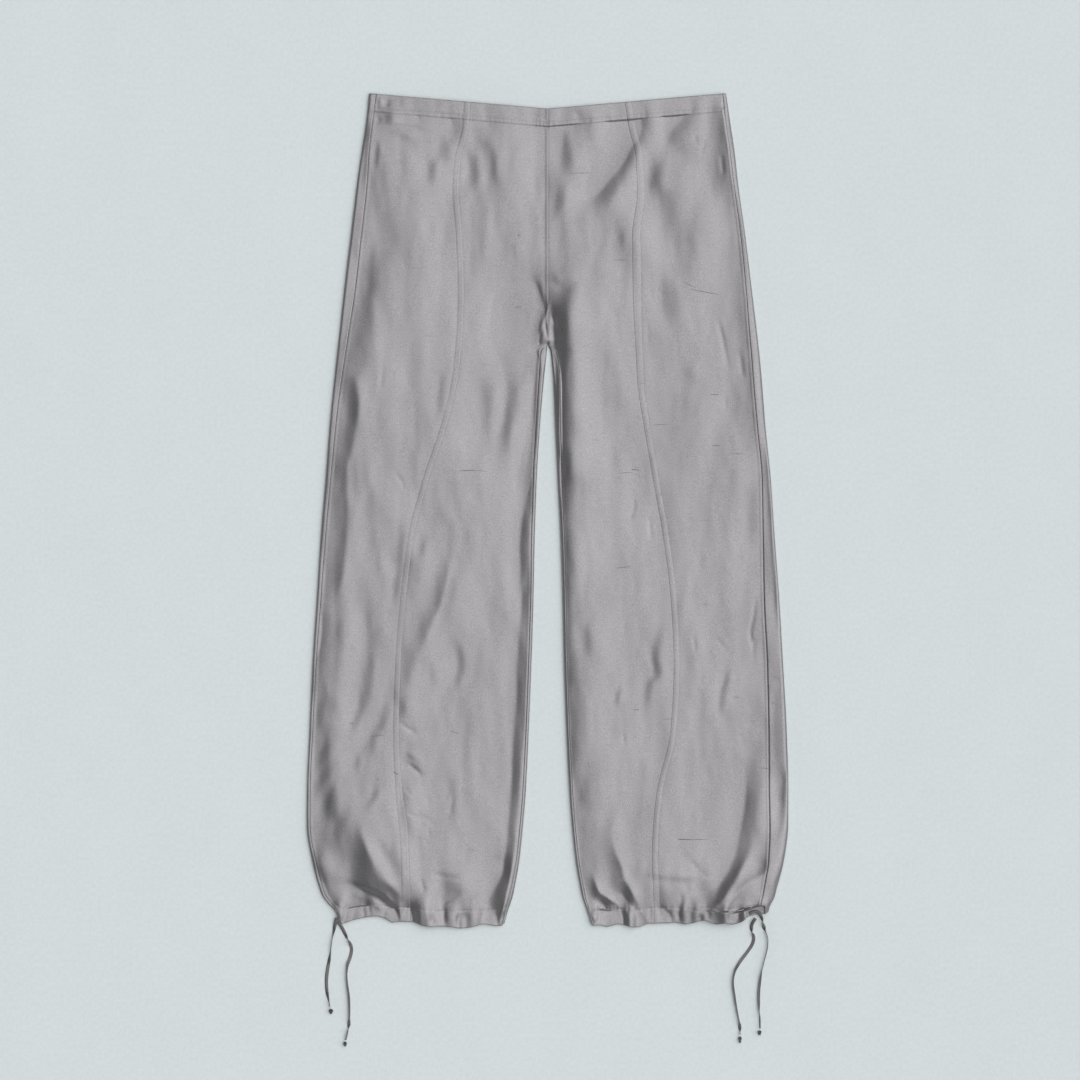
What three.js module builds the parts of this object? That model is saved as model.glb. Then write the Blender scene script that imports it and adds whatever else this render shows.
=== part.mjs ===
// Track pants in satin-faced cloth, laid out flat on their back: four front panels, two back panels,
// two casing tunnels at the hems with a flat drawcord in each.
// Millimetres. +Z is up, the underside rests on z = 0, +Y points to the waist, the front faces up.
// _r is the wearer's right leg (at -X), _l the wearer's left leg (at +X).

import * as THREE from "three";

// ---- driving sizes -------------------------------------------------------
const WALL = 1.2; // cloth wall of the panels
const CASING_WALL = 1.9; // wall where the edge is turned in and stitched down
const SEAM_GAP = 0.3; // free space between two pieces at a seam
const WAIST_Y = 511; // height of the waist corners
const HEM_Y = -507; // the hem line that the gathered edge varies about
const HEM_FADE = 40; // distance over which the lift of the gathered hem runs out
const WAIST_CASING = 23; // depth of the turned waist edge
const HEM_CASING = 20; // depth of the drawcord tunnel at the hem
const WAIST_DIP = 19; // how far the waist edge dips at the centre front
const WAIST_HALF = 218; // half the flat waist
const DIP_FADE = 330; // distance below the waist over which the dip runs out
const CROTCH_Y = 207; // the point where the panels meet between the legs
const CROTCH_EASE = 0.9; // more space where the inside leg seam turns under at the crotch
const LAYERS = 4.4; // height of the outside of the front where it lies on the back
const EDGE_T = 6.4; // height of the rolled fold along the side edges
const EDGE_A = 4.2; // half-width of that fold's rounding
const ROLL = 34; // distance over which the roll runs down to the flat layers
const CORD_D = 4.4; // width of the flat drawcord

// ---- section tables, distances from the centre line ----------------------
// y: height of the section; out: side fold; side: side seam on the front; style: shaped front seam;
// inner: fold at the inside leg (0 = centre seam); inseam: inside leg seam on the front; edge: extra roll height
const SECTIONS_R = [
  { y: 511, out: 218.4, side: 208.6, style: 95.2, inner: 0, inseam: 0, edge: -1.6 },
  { y: 481, out: 221.4, side: 212.9, style: 97.2, inner: 0, inseam: 0, edge: -1.0 },
  { y: 440, out: 227.5, side: 217.8, style: 106.4, inner: 0, inseam: 0, edge: 0 },
  { y: 397, out: 233.6, side: 220.5, style: 109.6, inner: 0, inseam: 0, edge: 0.4 },
  { y: 342, out: 240.3, side: 226.5, style: 105.5, inner: 0, inseam: 0, edge: 1.2 },
  { y: 269, out: 249.1, side: 234.9, style: 103.1, inner: 0, inseam: 0, edge: 1.6 },
  { y: 214, out: 255.0, side: 243.4, style: 104.9, inner: 0, inseam: 0, edge: 1.4 },
  { y: 203, out: 256.4, side: 245.1, style: 106.0, inner: 0.3, inseam: 1.6, edge: 1.4 },
  { y: 196, out: 257.2, side: 246.2, style: 106.6, inner: 0.9, inseam: 8.6, edge: 1.4 },
  { y: 159, out: 261.1, side: 251.9, style: 111.0, inner: 4.6, inseam: 11.4, edge: 1.4 },
  { y: 104, out: 266.6, side: 258.6, style: 124.4, inner: 9.2, inseam: 15.2, edge: 1.2 },
  { y: 37, out: 271.8, side: 265.2, style: 147.0, inner: 13.2, inseam: 18.6, edge: 1.2 },
  { y: -36, out: 277.8, side: 271.5, style: 165.3, inner: 15.7, inseam: 20.4, edge: 1.4 },
  { y: -109, out: 282.4, side: 276.9, style: 174.5, inner: 17.2, inseam: 21.6, edge: 1.6 },
  { y: -188, out: 287.6, side: 282.9, style: 180.6, inner: 19.7, inseam: 24.0, edge: 1.8 },
  { y: -268, out: 291.2, side: 286.7, style: 182.8, inner: 22.9, inseam: 27.2, edge: 2.2 },
  { y: -341, out: 294.3, side: 289.8, style: 178.7, inner: 26.4, inseam: 30.8, edge: 3.0 },
  { y: -384, out: 294.6, side: 290.0, style: 172.6, inner: 29.9, inseam: 34.2, edge: 3.6 },
  { y: -426, out: 288.5, side: 283.8, style: 169.6, inner: 34.2, inseam: 38.6, edge: 3.8 },
  { y: -464, out: 278.2, side: 273.4, style: 169.0, inner: 40.8, inseam: 45.2, edge: 3.0 },
  { y: -487, out: 267.9, side: 263.1, style: 169.0, inner: 45.8, inseam: 50.2, edge: 1.6 },
  { y: -507, out: 256.3, side: 251.9, style: 169.0, inner: 52.6, inseam: 57.0, edge: 0.8 },
];
const SECTIONS_L = [
  { y: 511, out: 218.4, side: 213.4, style: 95.6, inner: 0, inseam: 0, edge: -1.6 },
  { y: 481, out: 222.7, side: 217.2, style: 100.2, inner: 0, inseam: 0, edge: -1.0 },
  { y: 440, out: 228.8, side: 222.7, style: 109.0, inner: 0, inseam: 0, edge: 0 },
  { y: 397, out: 233.6, side: 227.6, style: 110.8, inner: 0, inseam: 0, edge: 0.2 },
  { y: 342, out: 241.3, side: 234.9, style: 104.7, inner: 0, inseam: 0, edge: 0.8 },
  { y: 269, out: 250.1, side: 242.2, style: 105.5, inner: 0, inseam: 0, edge: 1.2 },
  { y: 214, out: 256.8, side: 246.4, style: 108.0, inner: 0, inseam: 0, edge: 1.4 },
  { y: 203, out: 258.0, side: 247.3, style: 108.6, inner: 1.0, inseam: 2.6, edge: 1.4 },
  { y: 196, out: 258.8, side: 248.0, style: 109.0, inner: 3.6, inseam: 10.4, edge: 1.4 },
  { y: 159, out: 262.3, side: 250.7, style: 111.0, inner: 6.9, inseam: 15.6, edge: 1.4 },
  { y: 104, out: 266.6, side: 255.6, style: 119.0, inner: 9.2, inseam: 16.4, edge: 1.4 },
  { y: 37, out: 273.3, side: 261.7, style: 130.5, inner: 12.4, inseam: 17.8, edge: 1.4 },
  { y: -36, out: 278.2, side: 262.9, style: 143.1, inner: 16.0, inseam: 20.8, edge: 1.4 },
  { y: -109, out: 283.7, side: 264.1, style: 151.9, inner: 18.3, inseam: 22.8, edge: 1.4 },
  { y: -188, out: 288.3, side: 267.8, style: 155.6, inner: 20.0, inseam: 24.4, edge: 1.6 },
  { y: -268, out: 292.6, side: 269.6, style: 151.5, inner: 22.9, inseam: 27.2, edge: 2.2 },
  { y: -341, out: 294.6, side: 270.2, style: 135.2, inner: 26.6, inseam: 31.0, edge: 3.0 },
  { y: -384, out: 294.4, side: 270.8, style: 130.3, inner: 29.9, inseam: 34.2, edge: 3.6 },
  { y: -426, out: 289.5, side: 269.0, style: 128.7, inner: 34.2, inseam: 38.6, edge: 3.8 },
  { y: -464, out: 279.9, side: 263.4, style: 130.5, inner: 40.8, inseam: 45.2, edge: 3.0 },
  { y: -487, out: 274.6, side: 259.9, style: 131.2, inner: 45.8, inseam: 50.2, edge: 1.6 },
  { y: -507, out: 270.3, side: 258.0, style: 131.2, inner: 52.6, inseam: 57.0, edge: 0.8 },
];
// The gathered hem edge: at a share of the hem's width from the inside leg, how far its edge lies from the hem line.
const HEM_R = [
  { at: 0.0, up: 4.0 }, { at: 0.12, up: 1.2 }, { at: 0.27, up: -3.4 }, { at: 0.43, up: -1.8 }, { at: 0.56, up: 4.0 },
  { at: 0.66, up: 4.4 }, { at: 0.75, up: 10.6 }, { at: 0.84, up: 9.8 }, { at: 0.93, up: 5.6 }, { at: 1.0, up: 7.6 },
];
const HEM_L = [
  { at: 0.0, up: 0.0 }, { at: 0.09, up: -2.4 }, { at: 0.2, up: 0.2 }, { at: 0.27, up: -2.6 }, { at: 0.38, up: 2.6 },
  { at: 0.5, up: 2.8 }, { at: 0.65, up: 5.0 }, { at: 0.77, up: 0.8 }, { at: 0.88, up: 8.2 }, { at: 1.0, up: 15.0 },
];
// The mouth of the left drawcord tunnel: below y, the front stops at front and the back begins at back.
const MOUTH = { leg: "l", y: -492, front: 242, back: 266 };
// The largest folds of the front layer: from (d0, y0) to (d1, y1) at leg leg, half-width w, height h.
const FOLDS = [
  { leg: "r", d0: 226, y0: 330, d1: 262, y1: 60, w: 15, h: 1.8 },
  { leg: "r", d0: 60, y0: 400, d1: 66, y1: 330, w: 20, h: 1.6 },
  { leg: "r", d0: 30, y0: 200, d1: 44, y1: 40, w: 24, h: 2.4 },
  { leg: "r", d0: 70, y0: 150, d1: 92, y1: 20, w: 22, h: 1.8 },
  { leg: "r", d0: 120, y0: -60, d1: 168, y1: -260, w: 24, h: 2.4 },
  { leg: "r", d0: 258, y0: -250, d1: 250, y1: -430, w: 24, h: 4.2 },
  { leg: "r", d0: 216, y0: -330, d1: 190, y1: -490, w: 26, h: 4.6 },
  { leg: "r", d0: 100, y0: -410, d1: 96, y1: -500, w: 28, h: 2.6 },
  { leg: "l", d0: 62, y0: 440, d1: 30, y1: 330, w: 20, h: 1.8 },
  { leg: "l", d0: 34, y0: 240, d1: 26, y1: 60, w: 22, h: 2.6 },
  { leg: "l", d0: 150, y0: 420, d1: 176, y1: 300, w: 28, h: 1.8 },
  { leg: "l", d0: 90, y0: -180, d1: 104, y1: -330, w: 24, h: 1.6 },
  { leg: "l", d0: 236, y0: -290, d1: 190, y1: -470, w: 24, h: 4.4 },
  { leg: "l", d0: 66, y0: -370, d1: 92, y1: -500, w: 24, h: 4.0 },
  { leg: "l", d0: 250, y0: -400, d1: 236, y1: -480, w: 22, h: 3.2 },
];

// ---- the rows of the panels ---------------------------------------------
const ROWS = [
  WAIST_Y, 490, 486, 470, 440, 405, 370, 330, 290, 250, 222, CROTCH_Y, 203, 196, 180, 155, 122, 82, 42, 0, -42, -84,
  -126, -168, -210, -252, -292, -328, -360, -388, -414, -438, -462, -485, -489, -497, HEM_Y,
];
const FRONT_SPANS = 7; // spans across each front panel
const BACK_SPANS = [3, 8, 3]; // spans over the side fold, the underside and the inside leg fold

const clamp01 = (t) => Math.min(1, Math.max(0, t));
const smooth = (t) => { const c = clamp01(t); return c * c * (3 - 2 * c); };

// A column of a table at y, on a curve that doesn't overshoot its rows.
function at(table, column, y, key = "y") {
  const rows = [...table].sort((a, b) => a[key] - b[key]);
  if (y <= rows[0][key]) return rows[0][column];
  const n = rows.length - 1;
  if (y >= rows[n][key]) return rows[n][column];
  const i = rows.findIndex((r, k) => k < n && y < rows[k + 1][key]);
  const slope = (k) => (rows[k + 1][column] - rows[k][column]) / (rows[k + 1][key] - rows[k][key]);
  const tangent = (k) => {
    if (k === 0) return slope(0);
    if (k === n) return slope(n - 1);
    const a = slope(k - 1), b = slope(k);
    return a * b <= 0 ? 0 : (2 * a * b) / (a + b);
  };
  const h = rows[i + 1][key] - rows[i][key], t = (y - rows[i][key]) / h;
  return (
    (2 * t ** 3 - 3 * t * t + 1) * rows[i][column] + (t ** 3 - 2 * t * t + t) * h * tangent(i) +
    (-2 * t ** 3 + 3 * t * t) * rows[i + 1][column] + (t ** 3 - t * t) * h * tangent(i + 1)
  );
}

const LEGS = {
  r: { sign: -1, sections: SECTIONS_R, hem: HEM_R },
  l: { sign: 1, sections: SECTIONS_L, hem: HEM_L },
};

// The height that the largest folds add at (d, y) of a leg.
function folds(leg, d, y) {
  let sum = 0;
  for (const f of FOLDS) {
    if (f.leg !== leg) continue;
    const ex = f.d1 - f.d0, ey = f.y1 - f.y0, len = Math.hypot(ex, ey);
    const along = ((d - f.d0) * ex + (y - f.y0) * ey) / len;
    const across = ((d - f.d0) * ey - (y - f.y0) * ex) / len;
    const end = smooth((along + 0.35 * f.w) / (1.2 * f.w)) * smooth((len - along + 0.35 * f.w) / (1.2 * f.w));
    sum += f.h * end * Math.exp(-((across / f.w) ** 2) * 1.6);
  }
  return sum;
}

// One section of a leg, as a dense line of (d, z) from the centre or inside leg seam over the front,
// round the side fold, along the underside and back. seam gives the places of the seams along it.
function section(leg, y) {
  const { sections } = LEGS[leg];
  const hip = y >= CROTCH_Y;
  const out = at(sections, "out", y), inner = hip ? 0 : at(sections, "inner", y);
  const inseam = hip ? 0 : at(sections, "inseam", y), edge = at(sections, "edge", y);
  const T = EDGE_T + edge;
  const top = (d) => {
    const e = out - d, g = hip ? 1e3 : d - inner;
    const near = Math.min(e, g);
    const roll = LAYERS + (T - LAYERS) * Math.exp(-Math.pow(Math.max(0, near - EDGE_A) / ROLL, 2) * 2.2);
    const z = roll + folds(leg, d, y) * smooth((near - EDGE_A) / 14);
    return near < EDGE_A ? T / 2 + (z - T / 2) * Math.sqrt(1 - (1 - near / EDGE_A) ** 2) : z;
  };
  const bottom = (d) => {
    const near = Math.min(out - d, hip ? 1e3 : d - inner);
    return near < EDGE_A ? (T / 2) * (1 - Math.sqrt(Math.max(0, 1 - (1 - near / EDGE_A) ** 2))) : 0;
  };
  // distances across, closer together round a fold
  const across = (from, to, fromFold, toFold) => {
    const list = [];
    const steps = 44;
    const a = fromFold ? from + EDGE_A : from, b = toFold ? to - EDGE_A : to;
    if (fromFold) for (let k = 0; k < 10; k++) list.push(from + EDGE_A * (1 - Math.cos((Math.PI / 2) * (k / 10))));
    for (let k = 0; k <= steps; k++) list.push(a + (b - a) * (fromFold ? k / steps : Math.pow(k / steps, 1.6)));
    if (toFold) for (let k = 9; k >= 0; k--) list.push(to - EDGE_A * (1 - Math.cos((Math.PI / 2) * (k / 10))));
    return list;
  };
  const line = [];
  const half = SEAM_GAP / 2;
  if (hip) {
    for (const d of across(half, out, false, true)) line.push([d, top(d)]);
    for (const d of across(half, out, false, true).reverse().slice(1)) line.push([d, bottom(d)]);
  } else {
    const start = inseam + half + CROTCH_EASE * smooth((y - 180) / 20);
    for (const d of across(start, out, false, true)) line.push([d, top(d)]);
    for (const d of across(inner, out, true, true).reverse().slice(1)) line.push([d, bottom(d)]);
    const wrap = inseam - half - inner;
    for (let k = 1; k <= 14; k++) {
      const d = inner + wrap * Math.pow(k / 14, 1.6);
      line.push([d, top(d)]);
    }
  }
  const s = [0];
  for (let k = 1; k < line.length; k++)
    s.push(s[k - 1] + Math.hypot(line[k][0] - line[k - 1][0], line[k][1] - line[k - 1][1]));
  const topCount = across(0, 1, false, true).length;
  // arc length at a distance d on the front
  const onTop = (d) => {
    for (let k = 1; k < topCount; k++)
      if (line[k][0] >= d) {
        const t = (d - line[k - 1][0]) / (line[k][0] - line[k - 1][0]);
        return s[k - 1] + t * (s[k] - s[k - 1]);
      }
    return s[topCount - 1];
  };
  const point = (at) => {
    let k = 1;
    while (k < s.length - 1 && s[k] < at) k++;
    const t = clamp01((at - s[k - 1]) / (s[k] - s[k - 1] || 1));
    const p = [0, 1].map((j) => line[k - 1][j] + t * (line[k][j] - line[k - 1][j]));
    const lo = Math.max(0, k - 2), hi = Math.min(line.length - 1, k + 1);
    const tx = line[hi][0] - line[lo][0], tz = line[hi][1] - line[lo][1], l = Math.hypot(tx, tz) || 1;
    return { d: p[0], z: p[1], nx: -tz / l, nz: tx / l }; // normal to the outside
  };
  const foldAt = s[topCount - 1], side = at(sections, "side", y);
  const mouth = leg === MOUTH.leg && y < MOUTH.y;
  return {
    out, inner, hip, point,
    style: onTop(at(sections, "style", y)),
    frontEnd: Math.min(onTop(mouth ? MOUTH.front : side), foldAt),
    backStart: Math.min(onTop(mouth ? MOUTH.back : side), foldAt),
    fold: foldAt,
    under: s[hip ? line.length - 1 : line.length - 1 - 14],
    end: s[s.length - 1],
  };
}

// Where a point of a section really lies along the leg: the dip of the waist and the scalloped hem.
function along(leg, d, y, sec) {
  const { hem } = LEGS[leg];
  const dip = -WAIST_DIP * (1 - clamp01(Math.abs(d) / WAIST_HALF)) * smooth(1 - (WAIST_Y - y) / DIP_FADE);
  const share = clamp01((d - sec.inner) / (sec.out - sec.inner));
  const lift = at(hem, "up", share, "at") * smooth((HEM_Y + HEM_FADE - y) / HEM_FADE);
  return y + dip + lift;
}

const wallAt = (y) =>
  WALL + (CASING_WALL - WALL) * Math.max(smooth((y - (WAIST_Y - WAIST_CASING)) / 4 + 0.5), smooth((HEM_Y + HEM_CASING - y) / 4 + 0.5));

// A wall between stations of the sections: stations(sec) gives the arc lengths of its columns.
function panel(leg, stations) {
  const { sign } = LEGS[leg];
  const outside = [], inside = [];
  for (const y of ROWS) {
    const sec = section(leg, y), t = wallAt(y);
    const o = [], i = [];
    for (const s of stations(sec)) {
      const p = sec.point(s);
      const py = along(leg, p.d, y, sec);
      o.push(new THREE.Vector3(sign * p.d, py, p.z));
      i.push(new THREE.Vector3(sign * (p.d - p.nx * t), py, p.z - p.nz * t));
    }
    outside.push(o);
    inside.push(i);
  }
  return shell(outside, inside, sign > 0);
}

// A closed wall from two grids of points, outside and inside, with the rims filled.
function shell(outside, inside, flip) {
  const rows = outside.length, cols = outside[0].length;
  const points = [...outside.flat(), ...inside.flat()];
  const O = (r, c) => r * cols + c, I = (r, c) => rows * cols + r * cols + c;
  const faces = [];
  const quad = (a, b, c, d) => faces.push([a, b, c], [a, c, d]);
  for (let r = 0; r < rows - 1; r++)
    for (let c = 0; c < cols - 1; c++) {
      quad(O(r, c), O(r + 1, c), O(r + 1, c + 1), O(r, c + 1));
      quad(I(r, c), I(r, c + 1), I(r + 1, c + 1), I(r + 1, c));
    }
  for (let r = 0; r < rows - 1; r++) {
    quad(O(r, 0), I(r, 0), I(r + 1, 0), O(r + 1, 0));
    quad(O(r, cols - 1), O(r + 1, cols - 1), I(r + 1, cols - 1), I(r, cols - 1));
  }
  for (let c = 0; c < cols - 1; c++) {
    quad(O(0, c), O(0, c + 1), I(0, c + 1), I(0, c));
    quad(O(rows - 1, c), I(rows - 1, c), I(rows - 1, c + 1), O(rows - 1, c + 1));
  }
  const index = faces.flatMap(([a, b, c]) => (flip ? [a, b, c] : [a, c, b]));
  const g = new THREE.BufferGeometry().setFromPoints(points);
  g.setIndex(index);
  g.computeVertexNormals();
  return g;
}

const spread = (from, to, spans) => Array.from({ length: spans + 1 }, (_, k) => from + ((to - from) * k) / spans);
const half = SEAM_GAP / 2;
const frontCenter = (sec) => spread(0, sec.style - half, FRONT_SPANS);
const frontSide = (sec) => spread(sec.style + half, sec.frontEnd - half, FRONT_SPANS);
// The back runs from the side seam over the side fold, along the underside and up to its inner seam.
const back = (sec) => {
  const a = sec.backStart + half, turn = sec.fold + 9;
  const b = sec.hip ? sec.end - 16 : sec.under - 9;
  return [
    ...spread(a, turn, BACK_SPANS[0]),
    ...spread(turn, b, BACK_SPANS[1]).slice(1),
    ...spread(b, sec.end, BACK_SPANS[2]).slice(1),
  ];
};

// ---- the drawcords: routes of their free ends, laid on the surface -------
// x, y, z of the middle of the cord.
const CORDS = {
  drawcord_r_a: [
    { x: -259.4, y: -503.2, z: 2.6 }, { x: -260.8, y: -510.5, z: 2.3 }, { x: -263.6, y: -524.7, z: 2.3 },
    { x: -265.6, y: -539.3, z: 2.3 }, { x: -267.7, y: -552.8, z: 2.3 }, { x: -269.8, y: -566.2, z: 2.3 },
    { x: -270.5, y: -578.5, z: 2.3 }, { x: -269.4, y: -590.7, z: 2.3 }, { x: -267.2, y: -601.1, z: 2.3 },
    { x: -265.7, y: -607.0, z: 2.3 },
  ],
  drawcord_r_b: [
    { x: -252.2, y: -508.6, z: 2.6 }, { x: -249.9, y: -512.8, z: 2.3 }, { x: -245.7, y: -521.6, z: 2.3 },
    { x: -241.5, y: -529.1, z: 2.3 }, { x: -239.8, y: -536.9, z: 2.3 }, { x: -241.5, y: -546.1, z: 2.3 },
    { x: -244.5, y: -555.2, z: 2.3 }, { x: -245.5, y: -565.0, z: 2.3 }, { x: -245.0, y: -578.5, z: 2.3 },
    { x: -243.0, y: -594.4, z: 2.3 }, { x: -242.3, y: -610.3, z: 2.3 }, { x: -242.8, y: -626.2, z: 2.3 },
    { x: -245.2, y: -640.9, z: 2.3 }, { x: -246.9, y: -647.0, z: 2.3 },
  ],
  drawcord_l_a: [
    { x: 254.3, y: -498.0, z: 4.5 }, { x: 250.4, y: -505.0, z: 3.4 }, { x: 249.6, y: -512.9, z: 2.3 },
    { x: 252.3, y: -521.0, z: 2.3 }, { x: 250.8, y: -529.6, z: 2.3 }, { x: 243.7, y: -540.6, z: 2.3 },
    { x: 235.2, y: -552.1, z: 2.3 }, { x: 229.2, y: -563.8, z: 2.3 }, { x: 227.1, y: -577.3, z: 2.3 },
    { x: 229.1, y: -594.4, z: 2.3 }, { x: 232.2, y: -612.7, z: 2.3 }, { x: 234.9, y: -626.2, z: 2.3 },
    { x: 235.7, y: -640.2, z: 2.3 },
  ],
  drawcord_l_b: [
    { x: 246.9, y: -492.4, z: 4.5 }, { x: 251.8, y: -490.4, z: 4.6 }, { x: 256.6, y: -490.2, z: 4.6 },
    { x: 260.6, y: -494.4, z: 4.4 }, { x: 263.0, y: -501.9, z: 3.2 }, { x: 265.5, y: -511.5, z: 2.3 },
    { x: 269.4, y: -522.2, z: 2.3 }, { x: 268.9, y: -534.5, z: 2.3 }, { x: 264.5, y: -552.8, z: 2.3 },
    { x: 260.9, y: -569.9, z: 2.3 }, { x: 258.7, y: -587.0, z: 2.3 }, { x: 258.7, y: -604.2, z: 2.3 },
    { x: 259.6, y: -620.1, z: 2.3 }, { x: 259.8, y: -633.0, z: 2.3 },
  ],
};
// The knots at the free ends: middle and the three half-sizes.
const KNOTS = [
  { name: "knot_r_a", x: -264.9, y: -611.9, rx: 3.2, ry: 4.2, rz: 2.4 },
  { name: "knot_r_b", x: -247.6, y: -651.7, rx: 2.6, ry: 4.1, rz: 2.4 },
  { name: "knot_l_a", x: 235.5, y: -646.2, rx: 2.3, ry: 5.4, rz: 2.3 },
  { name: "knot_l_b", x: 259.5, y: -637.9, rx: 2.6, ry: 4.2, rz: 2.4 },
];

function tube(route, diameter, sides, step) {
  const curve = new THREE.CatmullRomCurve3(route.map((p) => new THREE.Vector3(p.x, p.y, p.z)), false, "centripetal");
  const ring = new THREE.Shape(
    Array.from({ length: sides }, (_, k) => {
      const a = (2 * Math.PI * (k + 0.5)) / sides;
      return new THREE.Vector2((Math.cos(a) * diameter) / 2, (Math.sin(a) * diameter) / 2);
    }),
  );
  return new THREE.ExtrudeGeometry(ring, {
    steps: Math.max(4, Math.round(curve.getLength() / step)), bevelEnabled: false, extrudePath: curve,
  });
}

// ---- materials -----------------------------------------------------------
const satin = () => new THREE.MeshStandardMaterial({ color: 0xa4a2a5, roughness: 0.42, metalness: 0.25, side: THREE.DoubleSide });
const cordCloth = () => new THREE.MeshStandardMaterial({ color: 0x6c6a6b, roughness: 0.5, metalness: 0.1 });

// ---- assembly ------------------------------------------------------------
const pants = new THREE.Group();
pants.name = "track_pants";

const add = (parent, name, geometry, material) => {
  const mesh = new THREE.Mesh(geometry, material);
  mesh.name = name;
  parent.add(mesh);
  return mesh;
};

for (const leg of ["r", "l"]) {
  const group = new THREE.Group();
  group.name = "leg_" + leg;
  add(group, "front_center_" + leg, panel(leg, frontCenter), satin());
  add(group, "front_side_" + leg, panel(leg, frontSide), satin());
  add(group, "back_" + leg, panel(leg, back), satin());
  pants.add(group);
}

const cords = new THREE.Group();
cords.name = "drawcords";
for (const [name, route] of Object.entries(CORDS)) add(cords, name, tube(route, CORD_D, 8, 9), cordCloth());
for (const k of KNOTS) {
  const knot = add(cords, k.name, new THREE.SphereGeometry(1, 10, 8), cordCloth());
  knot.scale.set(k.rx, k.ry, k.rz);
  knot.position.set(k.x, k.y, k.rz + 0.1);
}

// The origin is on the surface, under the middle of the cloth.
pants.updateMatrixWorld(true);
const box = new THREE.Box3().setFromObject(pants, true), middle = box.getCenter(new THREE.Vector3());
pants.position.set(-middle.x, -middle.y, -box.min.z);
cords.position.copy(pants.position);
const object = new THREE.Group();
object.name = "pants_and_drawcords";
object.add(pants, cords);

export default object;
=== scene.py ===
# Satin track pants laid flat on their back, front up, with the two free ends of a flat drawcord at each hem.
# The cloth is thin shells on the imported solids' own sections, with the creases placed one by one.
# Lengths in the tables are millimetres in the row frame, apart from the crease plan, which has units of its own.

import math

import bpy
import numpy as np
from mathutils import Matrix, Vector


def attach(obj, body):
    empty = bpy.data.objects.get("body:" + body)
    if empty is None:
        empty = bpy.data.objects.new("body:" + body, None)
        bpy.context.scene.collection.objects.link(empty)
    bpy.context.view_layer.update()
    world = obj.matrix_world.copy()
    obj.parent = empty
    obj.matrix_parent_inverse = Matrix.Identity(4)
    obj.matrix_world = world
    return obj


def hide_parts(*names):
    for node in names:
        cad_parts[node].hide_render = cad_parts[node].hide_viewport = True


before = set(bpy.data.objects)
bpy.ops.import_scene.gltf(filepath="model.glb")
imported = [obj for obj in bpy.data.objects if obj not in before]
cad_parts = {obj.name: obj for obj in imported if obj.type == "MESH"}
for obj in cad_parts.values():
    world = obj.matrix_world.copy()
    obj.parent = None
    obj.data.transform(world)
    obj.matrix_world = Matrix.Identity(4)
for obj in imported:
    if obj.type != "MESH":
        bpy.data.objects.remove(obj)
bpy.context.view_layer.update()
MM = 0.001
RNG = np.random.default_rng(41)
SHIFT = (0.208, -0.3015)  # from the section tables' centre line to the row frame

# ---- camera: straight down, long lens ---------------------------------------
LENS, SENSOR, WIDE = 200.0, 36.0, 1320.8
CAMERA_AT = (-8.96, -35.77)
camera_data = bpy.data.cameras.new("camera")
camera_data.lens, camera_data.sensor_width = LENS, SENSOR
camera_data.clip_start, camera_data.clip_end = 0.1, 60.0
camera = bpy.data.objects.new("camera", camera_data)
camera.location = (CAMERA_AT[0] * MM, CAMERA_AT[1] * MM, (WIDE * LENS / SENSOR + 5.0) * MM)
bpy.context.scene.collection.objects.link(camera)
bpy.context.scene.camera = camera
bpy.context.scene.view_settings.view_transform = "Standard"


# ---- small helpers ----------------------------------------------------------
def smooth(t):
    c = np.clip(t, 0.0, 1.0)
    return c * c * (3 - 2 * c)


def curve_at(xs, ys, x):
    """Monotone cubic through rows given from small x to large x."""
    xs, ys, x = np.asarray(xs, float), np.asarray(ys, float), np.asarray(x, float)
    h = np.diff(xs)
    sl = np.diff(ys) / h
    m = np.empty_like(ys)
    m[0], m[-1] = sl[0], sl[-1]
    a, b = sl[:-1], sl[1:]
    same = a * b > 0
    m[1:-1] = np.where(same, 2 * a * b / np.where(same, a + b, 1), 0)
    i = np.clip(np.searchsorted(xs, x, side="right") - 1, 0, len(xs) - 2)
    t = np.clip((x - xs[i]) / h[i], 0, 1)
    return (
        (2 * t**3 - 3 * t * t + 1) * ys[i]
        + (t**3 - 2 * t * t + t) * h[i] * m[i]
        + (3 * t * t - 2 * t**3) * ys[i + 1]
        + (t**3 - t * t) * h[i] * m[i + 1]
    )


def through(points, step):
    """A centripetal Catmull-Rom line through the points, in steps of about that length."""
    p = np.asarray(points, float)
    p = np.vstack([2 * p[0] - p[1], p, 2 * p[-1] - p[-2]])
    out = []
    for k in range(1, len(p) - 2):
        a, b, c, d = p[k - 1], p[k], p[k + 1], p[k + 2]
        ta = 0.0
        tb = ta + max(np.linalg.norm(b - a), 1e-6) ** 0.5
        tc = tb + max(np.linalg.norm(c - b), 1e-6) ** 0.5
        td = tc + max(np.linalg.norm(d - c), 1e-6) ** 0.5
        n = max(1, int(round(np.linalg.norm(c - b) / step)))
        for t in tb + (tc - tb) * np.arange(n) / n:
            a1 = (tb - t) / (tb - ta) * a + (t - ta) / (tb - ta) * b
            a2 = (tc - t) / (tc - tb) * b + (t - tb) / (tc - tb) * c
            a3 = (td - t) / (td - tc) * c + (t - tc) / (td - tc) * d
            b1 = (tc - t) / (tc - ta) * a1 + (t - ta) / (tc - ta) * a2
            b2 = (td - t) / (td - tb) * a2 + (t - tb) / (td - tb) * a3
            out.append((tc - t) / (tc - tb) * b1 + (t - tb) / (tc - tb) * b2)
    out.append(p[-2])
    return np.array(out)


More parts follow.
